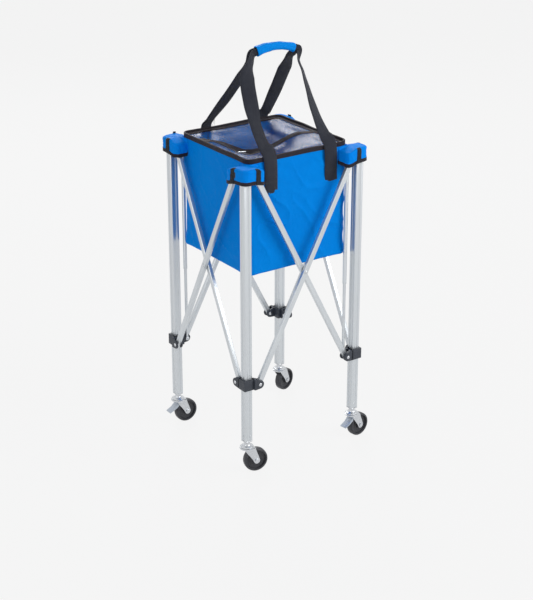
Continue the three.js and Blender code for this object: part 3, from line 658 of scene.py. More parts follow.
# Stays: beside two of the legs, an aluminium tube on the top bracket's pin and the rod
# that slides in it, its end milled flat on the slider's pin. The tube's mouth is rolled in.
STAY_CORNERS = ("front_right", "rear_left")
STAY_ASIDE = 9 * MM
STAY_ROD = 4.5 * MM
STAY_FLAT = 10.1 * MM
STAY_FLAT_LONG = 26 * MM
SHARP_BEND = 0.6
stay_profiles = {
    "tube": [(0, 5.6), (3.2, 5.4), (5.2, 4.4), (6, 2.4), (6, -396.6), (6.2, -397.4),
             (6.2, -400.4), (5.8, -401.5), (5, -401.9), (4.8, -401), (4.8, -20), (0, -20)],
    "rod": [(0, 338.1), (3.6, 338.1), (4.5, 337.2), (4.5, 18), (0, 18)]}
stay_eyes = {
    "tube": [(0, 3), (5.8, 3), (6.5, 3.7), (6.5, 14.3), (5.8, 15), (0, 15)],
    "rod": [(0, 10.1), (6, 10.1), (6.5, 10.6), (6.5, 13), (6, 13.5), (0, 13.5)]}
stay_pin = [(0, -2.9), (2.9, -2.9), (2.9, 3.2), (0, 3.2)]


def stay_end(part):
    """The tube's end is its pin. The rod's is a flat that lies on the slider's pin head."""
    if part == "tube":
        return lathe("stay pin", stay_pin, 32, "y")
    shape = bmesh.new()
    half = math.degrees(math.acos((STAY_FLAT - STAY_ASIDE) / STAY_ROD))
    section = arc(STAY_ASIDE, PIVOT_REACH, STAY_ROD, -half, half, 12)
    prism(shape, section, 0, STAY_FLAT_LONG, "xyz")
    bevelled(shape, sharp_edges(shape, SHARP_BEND), 0.2 * MM, segments=1)
    return as_mesh("milled end", shape)


on_pin = Matrix.Translation((0, PIVOT_REACH, 0)) @ Matrix.Rotation(math.pi / 2, 4, "Z")
for corner in STAY_CORNERS:
    for part, height, body in (("tube", top_pivot, f"frame_{corner}"),
                               ("rod", slider_pivot, f"slider_{corner}")):
        length = lathe("stay length", stay_profiles[part], 32)
        length.transform(Matrix.Translation((STAY_ASIDE, PIVOT_REACH, 0)))
        eye = lathe("stay eye", stay_eyes[part], 32, "y")
        eye.transform(on_pin)
        end = stay_end(part)
        if part == "tube":
            end.transform(on_pin)
        mesh = joined(f"stay {part} {corner}", length, eye, end)
        at = corner_frame(corner, height)
        mesh.transform(at)
        add_piece(f"stay_{part}_turned_{corner}", mesh, leg_aluminium, body,
                  f"stay_{part}_{corner}")
        face = stay_eyes[part][-1][1] * MM
        pin_end = [(at @ Vector((face, PIVOT_REACH, 0)), at.to_3x3() @ Vector((1, 0, 0)))]
        grown(f"stay_rivet_{part}_{corner}", points_facing(pin_end), head_tree, zinc, body,
              "zinc", head_radius=4.2 * MM, head_height=1.2 * MM)


# Caster forks: one zinc-plated pressing each, a round crown over two curved legs. The
# legs are 2.4 mm sheet with rolled edges, and the crown has a lip round it.
CASTER_TURN = {"front_left": -12, "front_right": 8, "rear_right": 18, "rear_left": 0}
BRAKED = ("front_right", "rear_left")
TRAIL = 27 * MM
DROP = 69 * MM
crown_mesh = lathe("fork crown", [
    (5.2, -22), (16, -22), (20.6, -22.3), (22.2, -23.4), (22.4, -25.2), (21.9, -26.6),
    (20.8, -27), (5.2, -27)])
FORK_IN = 12.8
FORK_OUT = 15.2
fork_side = (
    [(-10, -24), (22, -24), (24.2, -30), (28, -42), (32.6, -54), (36.9, -66.4)]
    + arc(27, -69, 10, 12, -140, 16)
    + [(14, -65), (8, -56), (3, -49), (-1.8, -43), (-5.2, -38), (-8, -33), (-9.6, -29)])
fork_shape = bmesh.new()
fork_bridge = [(-10, -26.8), (22, -26.8), (22, -24), (-10, -24)]
for outline, low, high in ((fork_side, -FORK_OUT, -FORK_IN), (fork_side, FORK_IN, FORK_OUT),
                           (fork_bridge, -FORK_OUT, FORK_OUT)):
    prism(fork_shape, [(a * MM, b * MM) for a, b in outline], low * MM, high * MM, "xzy")
bevelled(fork_shape, sharp_edges(fork_shape, SHARP_BEND), 0.5 * MM, segments=2, profile=0.5)
fork_whole = joined("fork", crown_mesh, as_mesh("fork legs", fork_shape))
pedal_pin_mesh = lathe("pedal pin", [
    (0, -16.2), (3.2, -16.2), (3.8, -15.7), (3.8, -15.2), (2.5, -15.2), (2.5, 15.2),
    (3.8, 15.2), (3.8, 15.7), (3.2, 16.2), (0, 16.2)], 20, "y")
pedal_pin_mesh.transform(Matrix.Translation((-1 * MM, 0, -35.5 * MM)))


def caster_frame(corner):
    foot = leg_foot[corner]
    return Matrix.Translation(foot) @ Matrix.Rotation(math.radians(CASTER_TURN[corner]), 4, "Z")


for corner in CORNERS:
    parts = [fork_whole, pedal_pin_mesh] if corner in BRAKED else [fork_whole]
    mesh = joined(f"fork {corner}", *parts)
    mesh.transform(caster_frame(corner))
    add_piece(f"caster_fork_pressing_{corner}", mesh, zinc, f"caster_{corner}",
              f"caster_fork_{corner}")


# Wheels: a hard black tread moulded on a black nylon centre, turning on a steel bolt
# with a hexagon head and nut.
tyre_finish = Finish("wheel tread", (0.026, 0.027, 0.034), 0.42)
tyre_wear = tyre_finish.group(surface_wear, tyre_finish.coordinates(),
                              Streak_scale=260.0, Smudge_scale=45.0)
tyre_finish.feed("Roughness", tyre_finish.span(tyre_wear["Smudge"], 0.32, 0.62))
tyre_finish.tint(tyre_finish.span(tyre_wear["Streak"], 0.0, 0.5, 0.45, 0.8),
                 (0.07, 0.07, 0.075))
tyre_finish.bump(tyre_wear["Grain"], 0.05 * MM)
wheel_profile = [
    (4.8, 12.5), (9.6, 12.5), (11, 11.6), (11.4, 8), (12.6, 5.4), (14, 4.7), (27, 4.3),
    (28.4, 4.9), (29.4, 8), (30, 10.6), (31, 11.7), (32.6, 12), (34.6, 11.4), (36.2, 9.8),
    (37.2, 7), (37.5, 3.4), (37.5, -3.4), (37.2, -7), (36.2, -9.8), (34.6, -11.4),
    (32.6, -12), (31, -11.7), (30, -10.6), (29.4, -8), (28.4, -4.9), (27, -4.3),
    (14, -4.7), (12.6, -5.4), (11.4, -8), (11, -11.6), (9.6, -12.5), (4.8, -12.5)]
wheel_mesh = lathe("wheel", wheel_profile, 72, "y")
bolt_profile = [(0, -18.5), (2.6, -18.5), (4, -17.9), (4, 17.9), (2.6, 18.5), (0, 18.5)]
bolt_mesh = lathe("axle bolt", bolt_profile, 24, "y")
hexagons = bmesh.new()
for low, high in ((-18.2, -15.5), (15.5, 18.2)):
    hexagon = [(6.6 * MM * math.cos(math.radians(60 * i)),
                6.6 * MM * math.sin(math.radians(60 * i))) for i in range(6)]
    prism(hexagons, hexagon, low * MM, high * MM, "xzy")
bevelled(hexagons, list(hexagons.edges), 0.4 * MM, segments=2)
axle_whole = joined("axle", bolt_mesh, as_mesh("axle hexagons", hexagons))
for corner in CORNERS:
    hub = caster_frame(corner) @ Matrix.Translation((TRAIL, 0, -DROP))
    mesh = wheel_mesh.copy()
    mesh.transform(hub)
    add_piece(f"caster_wheel_moulding_{corner}", mesh, tyre_finish.material,
              f"wheel_{corner}", f"caster_wheel_{corner}")
    mesh = axle_whole.copy()
    mesh.transform(hub)
    add_piece(f"caster_axle_bolt_{corner}", mesh, zinc, f"caster_{corner}",
              f"caster_axle_{corner}")


# Brake pedals: bent plates on two of the casters, pressed down with the foot until the
# shoe bears on the tread.
# Painted shade: a darker, bluer metal than the zinc, for the shade the pedals sit in beside the
# wheels
pedal_painted_shade_finish = Finish("pedal plate", (0.5, 0.55, 0.62), 0.4, 0.6)
pedal_wear = pedal_painted_shade_finish.group(surface_wear, pedal_painted_shade_finish.coordinates(),
                                Streak_scale=350.0, Smudge_scale=90.0)
pedal_painted_shade_finish.feed("Roughness", pedal_painted_shade_finish.span(pedal_wear["Smudge"], 0.28, 0.5))
pedal_painted_shade_finish.tint(pedal_painted_shade_finish.span(pedal_wear["Streak"], 0.0, 0.5), (0.42, 0.45, 0.5))
pedal_painted_shade_finish.bump(pedal_wear["Streak"], 0.05 * MM)
for corner in BRAKED:
    mesh = broken_edges(f"brake_pedal_{corner}", 0.7 * MM)
    add_piece(f"brake_pedal_plate_{corner}", mesh, pedal_painted_shade_finish.material, f"brake_{corner}",
              f"brake_pedal_{corner}")


# Bag: a square tube of coated blue nylon, one wall to a side and a strip at each corner.
# It hangs a little bulged, and creased where the corner pockets pull on it.
BAG_HALF = 177 * MM
BAG_CORNER = 22 * MM
BAG_BOTTOM = 515 * MM
BAG_TOP = 853 * MM
CLOTH = 1.6 * MM
# How far the bulge, the slack, the creases and the folds below the pockets move the cloth
BULGE = 5 * MM
SLACK_WAVE = 4.2 * MM
FINE_WAVE = 0.6 * MM
CREASE = 3.2 * MM
POCKET_FOLD = 2.2 * MM
# Where those folds start below a pocket, and how far down they fade
FOLD_START = 25 * MM
FOLD_FADE = 95 * MM
FOOT_ROUNDING = 9 * MM
FOOT_CORNER = 4 * MM

# Threads over and under each other, in metres of the piece's own UV map
weave, weave_in, weave_out = node_group(
    "plain weave", [("Vector", ()), ("Pitch", 0.0007), ("Rib share", 1.0)],
    ["Height", "Shade"])
weave_axes = node(weave, "ShaderNodeSeparateXYZ", {0: weave_in.outputs["Vector"]})
weave_across = sum_of(weave, "DIVIDE", weave_axes.outputs["X"], weave_in.outputs["Pitch"])
weave_pitch = sum_of(weave, "MULTIPLY", weave_in.outputs["Pitch"],
                     weave_in.outputs["Rib share"])
weave_along = sum_of(weave, "DIVIDE", weave_axes.outputs["Y"], weave_pitch)
thread_across, thread_along = (
    sum_of(weave, "ABSOLUTE",
           sum_of(weave, "SINE", sum_of(weave, "MULTIPLY", count, math.pi)))
    for count in (weave_across, weave_along))
weave_cell = sum_of(weave, "ADD", sum_of(weave, "FLOOR", weave_across),
                    sum_of(weave, "FLOOR", weave_along))
weave_pick = node(weave, "ShaderNodeMix", {
    "Factor": sum_of(weave, "FLOORED_MODULO", weave_cell, 2.0), "A": thread_across,
    "B": thread_along})
weave.links.new(weave_pick.outputs["Result"], weave_out.inputs["Height"])
# Shade: low in the gaps between threads, where the cloths are given painted shade
weave.links.new(sum_of(weave, "MULTIPLY", thread_across, thread_along),
                weave_out.inputs["Shade"])


def woven(name, colour, thread_gap_shade, roughness, pitch, ribs=1.0, depth=0.12 * MM, sheen=0.0,
          creases=0.0, faded=None, gloss=0.3):
    """A woven cloth: threads with painted shade between them, uneven dye, rubbed places and
    small creases.
    """
    finish = Finish(name, colour, roughness)
    cloth = finish.group(weave, finish.coordinates(kind="UV"), Pitch=pitch, Rib_share=ribs)
    wear = finish.group(surface_wear, finish.coordinates(), Streak_scale=70.0,
                        Smudge_scale=11.0)
    # Painted shade: a darker colour in the gaps between threads
    shade = finish.tint(finish.span(cloth["Shade"], 0.45, 0.0, 0.0, 0.5), thread_gap_shade)
    if faded:
        shade = finish.tint(finish.span(wear["Smudge"], 0.0, 0.4, 0.45, 0.8), faded, shade)
    finish.feed("Roughness", finish.span(wear["Streak"], roughness - 0.1, roughness + 0.1))
    finish.shader.inputs["Specular IOR Level"].default_value = gloss
    finish.shader.inputs["Sheen Weight"].default_value = sheen
    finish.shader.inputs["Sheen Roughness"].default_value = 0.4
    normal = finish.bump(cloth["Height"], depth)
    if creases:
        finish.bump(wear["Streak"], creases, normal)
    return finish.material


bag_nylon = woven("blue nylon", (0.0, 0.245, 0.80), (0.0, 0.19, 0.68), 0.5, 0.55 * MM,
                  creases=0.9 * MM, faded=(0.0, 0.275, 0.85), gloss=0.03)


def shell(name, place, us, vs, thickness, material, body, stands_for=None,
          outward=1):
    """A closed sheet: place(u, v) is its outer face, and the inner one lies behind it."""
    step = 0.2 * MM
    outer, normals = [], []
    for v in vs:
        for u in us:
            spot = place(u, v)
            normal = (place(u + step, v) - place(u - step, v)).cross(
                place(u, v + step) - place(u, v - step))
            normal = normal.normalized() * outward
            outer.append(spot)
            normals.append(normal)
    wide, tall = len(us), len(vs)
    count = wide * tall
    inner = [p - n * thickness for p, n in zip(outer, normals)]
    faces = []
    for j in range(tall - 1):
        for i in range(wide - 1):
            a = j * wide + i
            quad = (a, a + 1, a + wide + 1, a + wide)
            faces.append(quad if outward > 0 else quad[::-1])
            back = tuple(count + k for k in quad)
            faces.append(back[::-1] if outward > 0 else back)
    edge = ([(i, i + 1) for i in range(wide - 1)]
            + [(wide - 1 + j * wide, wide - 1 + (j + 1) * wide) for j in range(tall - 1)]
            + [(count - 1 - i, count - 2 - i) for i in range(wide - 1)]
            + [((tall - 1 - j) * wide, (tall - 2 - j) * wide) for j in range(tall - 1)])
    for a, b in edge:
        quad = (b, a, count + a, count + b)
        faces.append(quad if outward > 0 else quad[::-1])
    mesh = bpy.data.meshes.new(name)
    mesh.from_pydata(outer + inner, [], faces)
    layer = mesh.uv_layers.new(name="cloth")
    flat = [(u, v) for v in vs for u in us] * 2
    way = normals + [-n for n in normals]
    split = [None] * len(mesh.loops)
    rim_start = len(faces) - len(edge)
    for polygon in mesh.polygons:
        polygon.use_smooth = True
        for loop in polygon.loop_indices:
            vertex = mesh.loops[loop].vertex_index
            layer.data[loop].uv = flat[vertex]
            split[loop] = polygon.normal.copy() if polygon.index >= rim_start else way[vertex]
    mesh.normals_split_custom_set(split)
    return add_piece(name, mesh, material, body, stands_for)


def steps(start, end, count):
    return [start + (end - start) * i / count for i in range(count + 1)]


bag_straight = BAG_HALF - BAG_CORNER


def bag_swell(spot, along, height):
    """How far the cloth stands out from the flat wall, by its bulge and its creases."""
    share = min(1, max(0, (height - BAG_BOTTOM) / (BAG_TOP - BAG_BOTTOM)))
    middle = max(0.0, 1 - (along / bag_straight) ** 2)
    swell = BULGE * middle * math.sin(math.pi * share) ** 0.8
    loose = math.sin(math.pi * share) ** 0.4
    wave = noise.noise(spot * 9 + Vector((3.1, 7.7, 1.3))) * SLACK_WAVE
    sheared = Vector((spot.x * 13 + spot.z * 7, spot.y * 13 - spot.z * 9, spot.z * 4))
    crease = (1 - min(1, abs(noise.noise(sheared)) * 3.4)) ** 2 * CREASE
    fine = noise.noise(spot * 46) * FINE_WAVE
    swell += loose * (wave + crease + fine)
    # Folds that fan out below each corner pocket, and a corner that stands out at the foot
    across = max(0.0, bag_straight - abs(along)) + 6 * MM
    down = BAG_TOP + 10 * MM - height
    reach = math.hypot(across, down)
    fan = math.sin(math.atan2(across, down) * 15 + noise.noise(spot * 6) * 3)
    fading = math.exp(-reach / FOLD_FADE) * min(1, reach / FOLD_START)
    swell += fan * POCKET_FOLD * fading * loose
    foot = max(0.0, 1 - share / 0.16)
    swell += (1 - middle) ** 3 * FOOT_CORNER * foot * foot * (3 - 2 * foot)
    if height < BAG_BOTTOM + FOOT_ROUNDING:
        low = 1 - (height - BAG_BOTTOM) / FOOT_ROUNDING
        swell -= FOOT_ROUNDING * 0.6 * (1 - math.sqrt(max(0.0, 1 - low * low)))
    return swell


def bag_path(u, out):
    """A flat place, the way out and how far along, for u along a wall and round a corner."""
    if abs(u) <= bag_straight:
        return Vector((u, -out, 0)), Vector((0, -1, 0)), u
    side = 1 if u > 0 else -1
    angle = (abs(u) - bag_straight) / BAG_CORNER
    way = Vector((side * math.sin(angle), -math.cos(angle), 0))
    base = Vector((side * bag_straight, -bag_straight, 0))
    return base + way * (out - bag_straight), way, bag_straight


def on_bag(turn, u, height):
    """A place on the bag: u runs along the front wall, and round its right corner."""
    spot, way, along = bag_path(u, BAG_HALF)
    quarter = Matrix.Rotation(turn, 3, "Z")
    spot, way = quarter @ spot, quarter @ way
    spot.z = height
    return spot + way * bag_swell(spot, along, height) + origin


corner_arc = BAG_CORNER * math.pi / 2
wall_heights = (steps(BAG_BOTTOM, BAG_BOTTOM + FOOT_ROUNDING, 5)
                + steps(BAG_BOTTOM + FOOT_ROUNDING, BAG_TOP, 62)[1:])
WALL_BODY = {"front": "frame_front_left", "right": "frame_front_right",
             "rear": "frame_rear_left", "left": "frame_front_left"}


def fold_with(piece):
    """Gives the piece a mesh of its own."""
    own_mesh(piece)


for index, side in enumerate(SIDES):
    turn = index * math.pi / 2
    stands_for = "bag_walls" if side == "front" else None
    wall = shell(f"bag_wall_{side}", lambda u, v, t=turn: on_bag(t, u, v),
                 steps(-bag_straight, bag_straight, 84), wall_heights, CLOTH, bag_nylon,
                 WALL_BODY[side], stands_for)
    fold_with(wall)
    # The corner strip at this wall's left end belongs to the leg of the same number
    corner = CORNERS[index]
    shell(f"bag_corner_{corner}", lambda u, v, t=turn: on_bag(t, u, v),
          steps(-bag_straight - corner_arc, -bag_straight, 10), wall_heights, CLOTH,
          bag_nylon, f"frame_{corner}")


# Bag floor: the same nylon in two panels, hemmed to the walls, with a crease across the
# middle where it folds up.
ROWS = (("front", -1), ("rear", 1))
FLOOR_DROP = 3 * MM
FLOOR_RIPPLE = 1.2 * MM
FLOOR_BELOW = 0.6 * MM
FLOOR_HALF = 171 * MM


def floor_place(sign):
    def place(u, v):
        low = 0.5 * (math.cos(math.pi * u / (2 * BAG_HALF))
                     * math.cos(math.pi * v / (2 * BAG_HALF)))
        ripple = noise.noise(Vector((u * 14, v * 14, 5.0))) * FLOOR_RIPPLE
        return Vector((u + centre.x, v * sign + centre.y,
                       ground + BAG_BOTTOM - FLOOR_BELOW - low * FLOOR_DROP - abs(ripple)))
    return place


for part, sign in ROWS:
    fold_with(shell(f"bag_floor_panel_{part}", floor_place(sign),
                    steps(-FLOOR_HALF, FLOOR_HALF, 48), steps(0.2 * MM, FLOOR_HALF, 24),
                    CLOTH, bag_nylon, f"floor_{part}", f"bag_floor_{part}",
                    outward=-sign))


# Rim: a black grosgrain band sewn round the mouth of the bag, that the net lid is bound
# to. It has one run to each side and one round each corner.
RIM_LOW = 853.3 * MM
RIM_HIGH = 867.3 * MM
RIM_OUT = 178.5 * MM
RIM_THICK = 6 * MM
RIM_EDGE = 1.8 * MM
RIM_WOBBLE = 2.4 * MM
black_tape = woven("black tape", (0.026, 0.021, 0.028), (0.010, 0.009, 0.012), 0.66,
                   0.9 * MM, 1.6, 0.2 * MM, sheen=0.12, gloss=0.15)


def loft(name, rings, material, body, stands_for=None, sharp=38):
    """A closed skin over rings of points, capped at both ends, with a UV in metres."""
    count = len(rings[0])
    verts = [p for ring in rings for p in ring]
    faces = []
    for r in range(len(rings) - 1):
        for i in range(count):
            j = (i + 1) % count
            faces.append((r * count + i, r * count + j, (r + 1) * count + j,
                          (r + 1) * count + i))
    faces.append(tuple(range(count))[::-1])
    last = (len(rings) - 1) * count
    faces.append(tuple(last + i for i in range(count)))
    mesh = bpy.data.meshes.new(name)
    mesh.from_pydata([tuple(v) for v in verts], [], faces)
    layer = mesh.uv_layers.new(name="cloth")
    run = [0.0]
    for first, second in zip(rings, rings[1:]):
        run.append(run[-1] + (second[0] - first[0]).length)
    girth = [0.0]
    for i in range(count):
        girth.append(girth[-1] + (rings[0][(i + 1) % count] - rings[0][i]).length)
    for index, polygon in enumerate(mesh.polygons):
        r, i = divmod(index, count)
        for place, loop in enumerate(polygon.loop_indices):
            if index >= (len(rings) - 1) * count:
                layer.data[loop].uv = (0, 0)
                continue
            layer.data[loop].uv = (girth[i + (place in (1, 2))], run[r + (place > 1)])
    shape = bmesh.new()
    shape.from_mesh(mesh)
    bmesh.ops.recalc_face_normals(shape, faces=shape.faces)
    shape.to_mesh(mesh)
    shape.free()
    smooth(mesh, sharp)
    return add_piece(name, mesh, material, body, stands_for)


def rim_ring(turn, u, girth):
    """A section of the band where the bag's path is at u, from (out, height) pairs."""
    base, way, _ = bag_path(u, bag_straight)
    quarter = Matrix.Rotation(turn, 3, "Z")
    ring = []
    for out, height in girth:
        spot = quarter @ (base + way * (out - bag_straight))
        wobble = noise.noise(Vector((spot.x * 14, spot.y * 14, 2.0))) * RIM_WOBBLE
        ring.append(Vector((spot.x + centre.x, spot.y + centre.y, height + wobble + ground)))
    return ring


def rounded_band(inner, outer, low, high, edge):
    ring = []
    for a, b, start in ((outer - edge, high - edge, 0), (inner + edge, high - edge, 90),
                        (inner + edge, low + edge, 180), (outer - edge, low + edge, 270)):
        ring += arc(a, b, edge, start, start + 90, 4)
    return ring


rim_girth = rounded_band(RIM_OUT - RIM_THICK, RIM_OUT, RIM_LOW, RIM_HIGH, RIM_EDGE)
for index, side in enumerate(SIDES):
    turn = index * math.pi / 2
    stands_for = "rim_band" if side == "front" else None
    band = loft(f"rim_tape_{side}",
                [rim_ring(turn, u, rim_girth) for u in steps(-bag_straight, bag_straight, 60)],
                black_tape, WALL_BODY[side], stands_for)
    fold_with(band)
    corner = CORNERS[index]
    loft(f"rim_tape_corner_{corner}",
         [rim_ring(turn, u, rim_girth)
          for u in steps(-bag_straight - corner_arc, -bag_straight, 10)],
         black_tape, f"frame_{corner}")


# Lid: glossy nylon net in two panels, bound with tape at the rim and sewn to the zip that
# runs across it. It hangs slack, and the zip draws it down in the middle.
LID_Z = 860 * MM
LID_HALF = 172 * MM
SLIT_LEFT = 0.52
SLIT_RIGHT = -0.17
ZIP_SAG = 64 * MM
ZIP_LOW_X = -28 * MM
# How far the zip's dip reaches to either side of its lowest place
DIP_RIGHT = 152 * MM
DIP_LEFT = 116 * MM
SLIT_GAP = 0.4 * MM
NET_THICK = 0.4 * MM
NET_BILLOW = 7 * MM
NET_RIPPLE = 5 * MM
HEM_WIDE = 11 * MM
HEM_END = 12 * MM
HEM_THICK = 1.2 * MM
HEM_LIFT = 1.6 * MM

# Square net: the share of thread, from 0 in a hole to 1 on a thread
netting, netting_in, netting_out = node_group(
    "square net", [("Vector", ()), ("Pitch", 0.003), ("Thread share", 0.4)],
    ["Thread", "Height"])
net_axes = node(netting, "ShaderNodeSeparateXYZ", {0: netting_in.outputs["Vector"]})
net_rows = []
for axis in ("X", "Y"):
    part = sum_of(netting, "FRACT", sum_of(netting, "DIVIDE", net_axes.outputs[axis],
                                           netting_in.outputs["Pitch"]))
    net_rows.append(sum_of(netting, "ABSOLUTE", sum_of(netting, "SUBTRACT", part, 0.5)))
net_far = sum_of(netting, "MAXIMUM", net_rows[0], net_rows[1])
net_edge = sum_of(netting, "SUBTRACT", 0.5, sum_of(
    netting, "MULTIPLY", netting_in.outputs["Thread share"], 0.5))
netting.links.new(sum_of(netting, "GREATER_THAN", net_far, net_edge),
                  netting_out.inputs["Thread"])
netting.links.new(net_far, netting_out.inputs["Height"])

net_finish = Finish("nylon net", (0.05, 0.054, 0.064), 0.26)
net_mask = net_finish.group(netting, net_finish.coordinates(kind="UV"), Pitch=2.4 * MM,
                            Thread_share=0.085)
net_wear = net_finish.group(surface_wear, net_finish.coordinates(), Streak_scale=55.0,
                            Smudge_scale=8.0)
net_finish.shader.inputs["IOR"].default_value = 1.9
net_finish.feed("Alpha", net_mask["Thread"])
net_finish.tint(net_finish.span(net_wear["Smudge"], 0.0, 0.5), (0.08, 0.085, 0.1))
net_finish.feed("Roughness", net_finish.span(net_wear["Smudge"], 0.25, 0.37))
net_finish.bump(net_mask["Height"], 0.05 * MM)


def slit_at(x):
    share = (x + LID_HALF) / (2 * LID_HALF)
    return (SLIT_LEFT + (SLIT_RIGHT - SLIT_LEFT) * share) * LID_HALF


def zip_lie(x):
    """How far the zip lies on its side: 1 towards the left, 0 from the middle rightwards."""
    return min(1, max(0, (40 * MM - x) / (130 * MM)))


def lid_height(x, y):
    """The net falls from the rim to the zip, which sags to its lowest left of the middle."""
    reach = DIP_RIGHT if x > ZIP_LOW_X else DIP_LEFT
    away = abs(x - ZIP_LOW_X) / reach
    dip = max(0.0, 1 - math.sqrt(away * away + 0.012)) * ZIP_SAG
    slit = slit_at(x)
    edge = LID_HALF if y > slit else -LID_HALF
    share = min(1, max(0, (y - slit) / (edge - slit)))
    inside = max(0.0, 1 - (x / LID_HALF) ** 4)
    # The rear net climbs steeply from the zip on the left, where the zip lies on its side
    fall = 1.2 + (1.5 * zip_lie(x) if y > slit else 0)
    billow = math.sin(math.pi * share) * NET_BILLOW * inside
    ripple = noise.noise(Vector((x * 15, y * 15, 9.0))) * NET_RIPPLE
    ripple *= inside * (1 - share ** 6)
    return LID_Z - dip * (1 - share) ** fall - billow + ripple


def on_lid(x, y, lift=0):
    return Vector((x + centre.x, y + centre.y, lid_height(x, y) + lift + ground))


def lid_place(sign):
    """x runs across the lid and v from the slit, at 0, to the rim, at LID_HALF."""
    def place(x, v):
        start = slit_at(x) + sign * SLIT_GAP
        y = start + (sign * LID_HALF - start) * v / LID_HALF
        return on_lid(x, y)
    return place


net_panels = []
for part, sign in ROWS:
    panel = shell(f"lid_net_panel_{part}", lid_place(sign), steps(-LID_HALF, LID_HALF, 70),
                  steps(0, LID_HALF, 40), NET_THICK, net_finish.material, f"lid_{part}",
                  f"lid_net_{part}", outward=sign)
    fold_with(panel)
    net_panels.append(panel)


# Hem: tape on the net all round, inside the rim, in three runs to each panel
def hem_place(sign, run):
    """u runs along the hem and v across it, from the rim inwards."""
    def place(u, v):
        if run == "long":
            x, y = u, sign * (LID_HALF - v)
        else:
            x = (-1 if run == "left" else 1) * (LID_HALF - v)
            start, end = slit_at(x) + sign * HEM_END, sign * (LID_HALF - HEM_WIDE)
            y = start + (end - start) * u / LID_HALF
        return on_lid(x, y, HEM_LIFT)
    return place


for panel, (part, sign) in zip(net_panels, ROWS):
    for run in ("long", "left", "right"):
        us = steps(-LID_HALF, LID_HALF, 60) if run == "long" else steps(0, LID_HALF, 30)
        facing = sign if run == "right" else -sign
        hem = shell(f"lid_hem_{part}_{run}", hem_place(sign, run), us,
                    steps(0, HEM_WIDE, 3), HEM_THICK, black_tape, f"lid_{part}",
                    outward=facing)
        fold_with(hem)


# Zip: two black tapes with nylon coil teeth along the slit, and a cast slider. The tapes
# are sewn to the nets' edges.
ZIP_EDGE = 0.6 * MM
ZIP_LIFT = 1.2 * MM
ZIP_END = 1 * MM
TAPE_THICK = 1 * MM
TAPE_NARROW = 11 * MM
TAPE_WIDER = 13 * MM
TEETH_ASIDE = 0.9 * MM
TEETH_LIFT = 1.7 * MM
TEETH_END = 2 * MM


def tape_ring(x, sign):
    """A section of one zip tape at x. The tapes lie folded narrower towards the right."""
    wide = TAPE_NARROW + TAPE_WIDER * zip_lie(x)
    under = ZIP_LIFT - TAPE_THICK
    return [on_lid(x, slit_at(x) + sign * out, lift)
            for out, lift in ((ZIP_EDGE, ZIP_LIFT), (wide, ZIP_LIFT), (wide, under),
                              (ZIP_EDGE, under))]


for part, sign in ROWS:
    fold_with(loft(
        f"zip_tape_{part}",
        [tape_ring(x, sign) for x in steps(ZIP_END - LID_HALF, LID_HALF - ZIP_END, 90)],
        black_tape, f"lid_{part}"))

# Bars placed along a curve, for teeth and stitches
row_tree, row_in, row_out = geometry_tree(
    "bars along a path",
    [("Spacing", 3 * MM), ("Bar length", 2 * MM), ("Bar radius", 0.4 * MM), ("Crossways", 0)])
row_points = node(row_tree, "GeometryNodeCurveToPoints", {
    "Curve": row_in.outputs["Geometry"], "Length": row_in.outputs["Spacing"]}, mode="LENGTH")
row_bar = node(row_tree, "GeometryNodeMeshCylinder", {
    "Vertices": 6, "Radius": row_in.outputs["Bar radius"],
    "Depth": row_in.outputs["Bar length"]})
row_side = node(row_tree, "ShaderNodeVectorMath", {
    0: row_points.outputs["Tangent"], 1: (0, 0, 1)}, operation="CROSS_PRODUCT")
row_is = node(row_tree, "FunctionNodeCompare", data_type="INT", operation="EQUAL")
row_left, row_right = (s for s in row_is.inputs if s.enabled and s.name in "AB")
row_tree.links.new(row_in.outputs["Crossways"], row_left)
row_right.default_value = 1
row_choice = node(row_tree, "GeometryNodeSwitch", {
    "Switch": row_is.outputs["Result"], "False": row_points.outputs["Tangent"],
    "True": row_side.outputs["Vector"]}, input_type="VECTOR")
row_turn = node(row_tree, "FunctionNodeAlignRotationToVector", {
    "Vector": row_choice.outputs["Output"]}, axis="Z")
row_place = node(row_tree, "GeometryNodeInstanceOnPoints", {
    "Points": row_points.outputs["Points"], "Instance": row_bar.outputs["Mesh"],
    "Rotation": row_turn.outputs["Rotation"]})
finish_tree(row_tree, row_place.outputs["Instances"], row_in, row_out)


def paths_curve(paths):
    """A curve of straight-stepped runs."""
    curve = bpy.data.curves.new("paths", "CURVE")
    curve.dimensions = "3D"
    for path in paths:
        run = curve.splines.new("POLY")
        run.points.add(len(path) - 1)
        for point, spot in zip(run.points, path):
            point.co = (*spot, 1)
    return curve


thread_finish = Finish("sewing thread", (0.03, 0.03, 0.035), 0.5)
thread_wear = thread_finish.group(surface_wear, thread_finish.coordinates(),
                                  Streak_scale=900.0, Smudge_scale=200.0)
thread_finish.tint(thread_finish.span(thread_wear["Streak"], 0.0, 0.6), (0.09, 0.09, 0.1))
thread_finish.bump(thread_wear["Streak"], 0.1 * MM)
thread = thread_finish.material

for part, sign in ROWS:
    path = [on_lid(x, slit_at(x) + sign * TEETH_ASIDE, TEETH_LIFT)
            for x in steps(TEETH_END - LID_HALF, LID_HALF - TEETH_END, 90)]
    fold_with(grown(f"zip_teeth_{part}", paths_curve([path]), row_tree, thread,
                    f"lid_{part}", "binding", spacing=2.2 * MM, bar_length=1.5 * MM,
                    bar_radius=0.55 * MM, crossways=1))

pull_mesh = broken_edges("zip_slider", 0.5 * MM)
pull_low, pull_high = (Vector(c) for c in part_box("zip_slider"))
pull_x = (pull_low.x + pull_high.x) / 2 - centre.x
pull_lift = lid_height(pull_x, slit_at(pull_x)) + ground + 1.5 * MM
pull_mesh.transform(Matrix.Translation((0, 0, pull_lift - pull_low.z)))
add_piece("zip_slider_cast", pull_mesh, zinc, "zip_slider", "zip_slider")


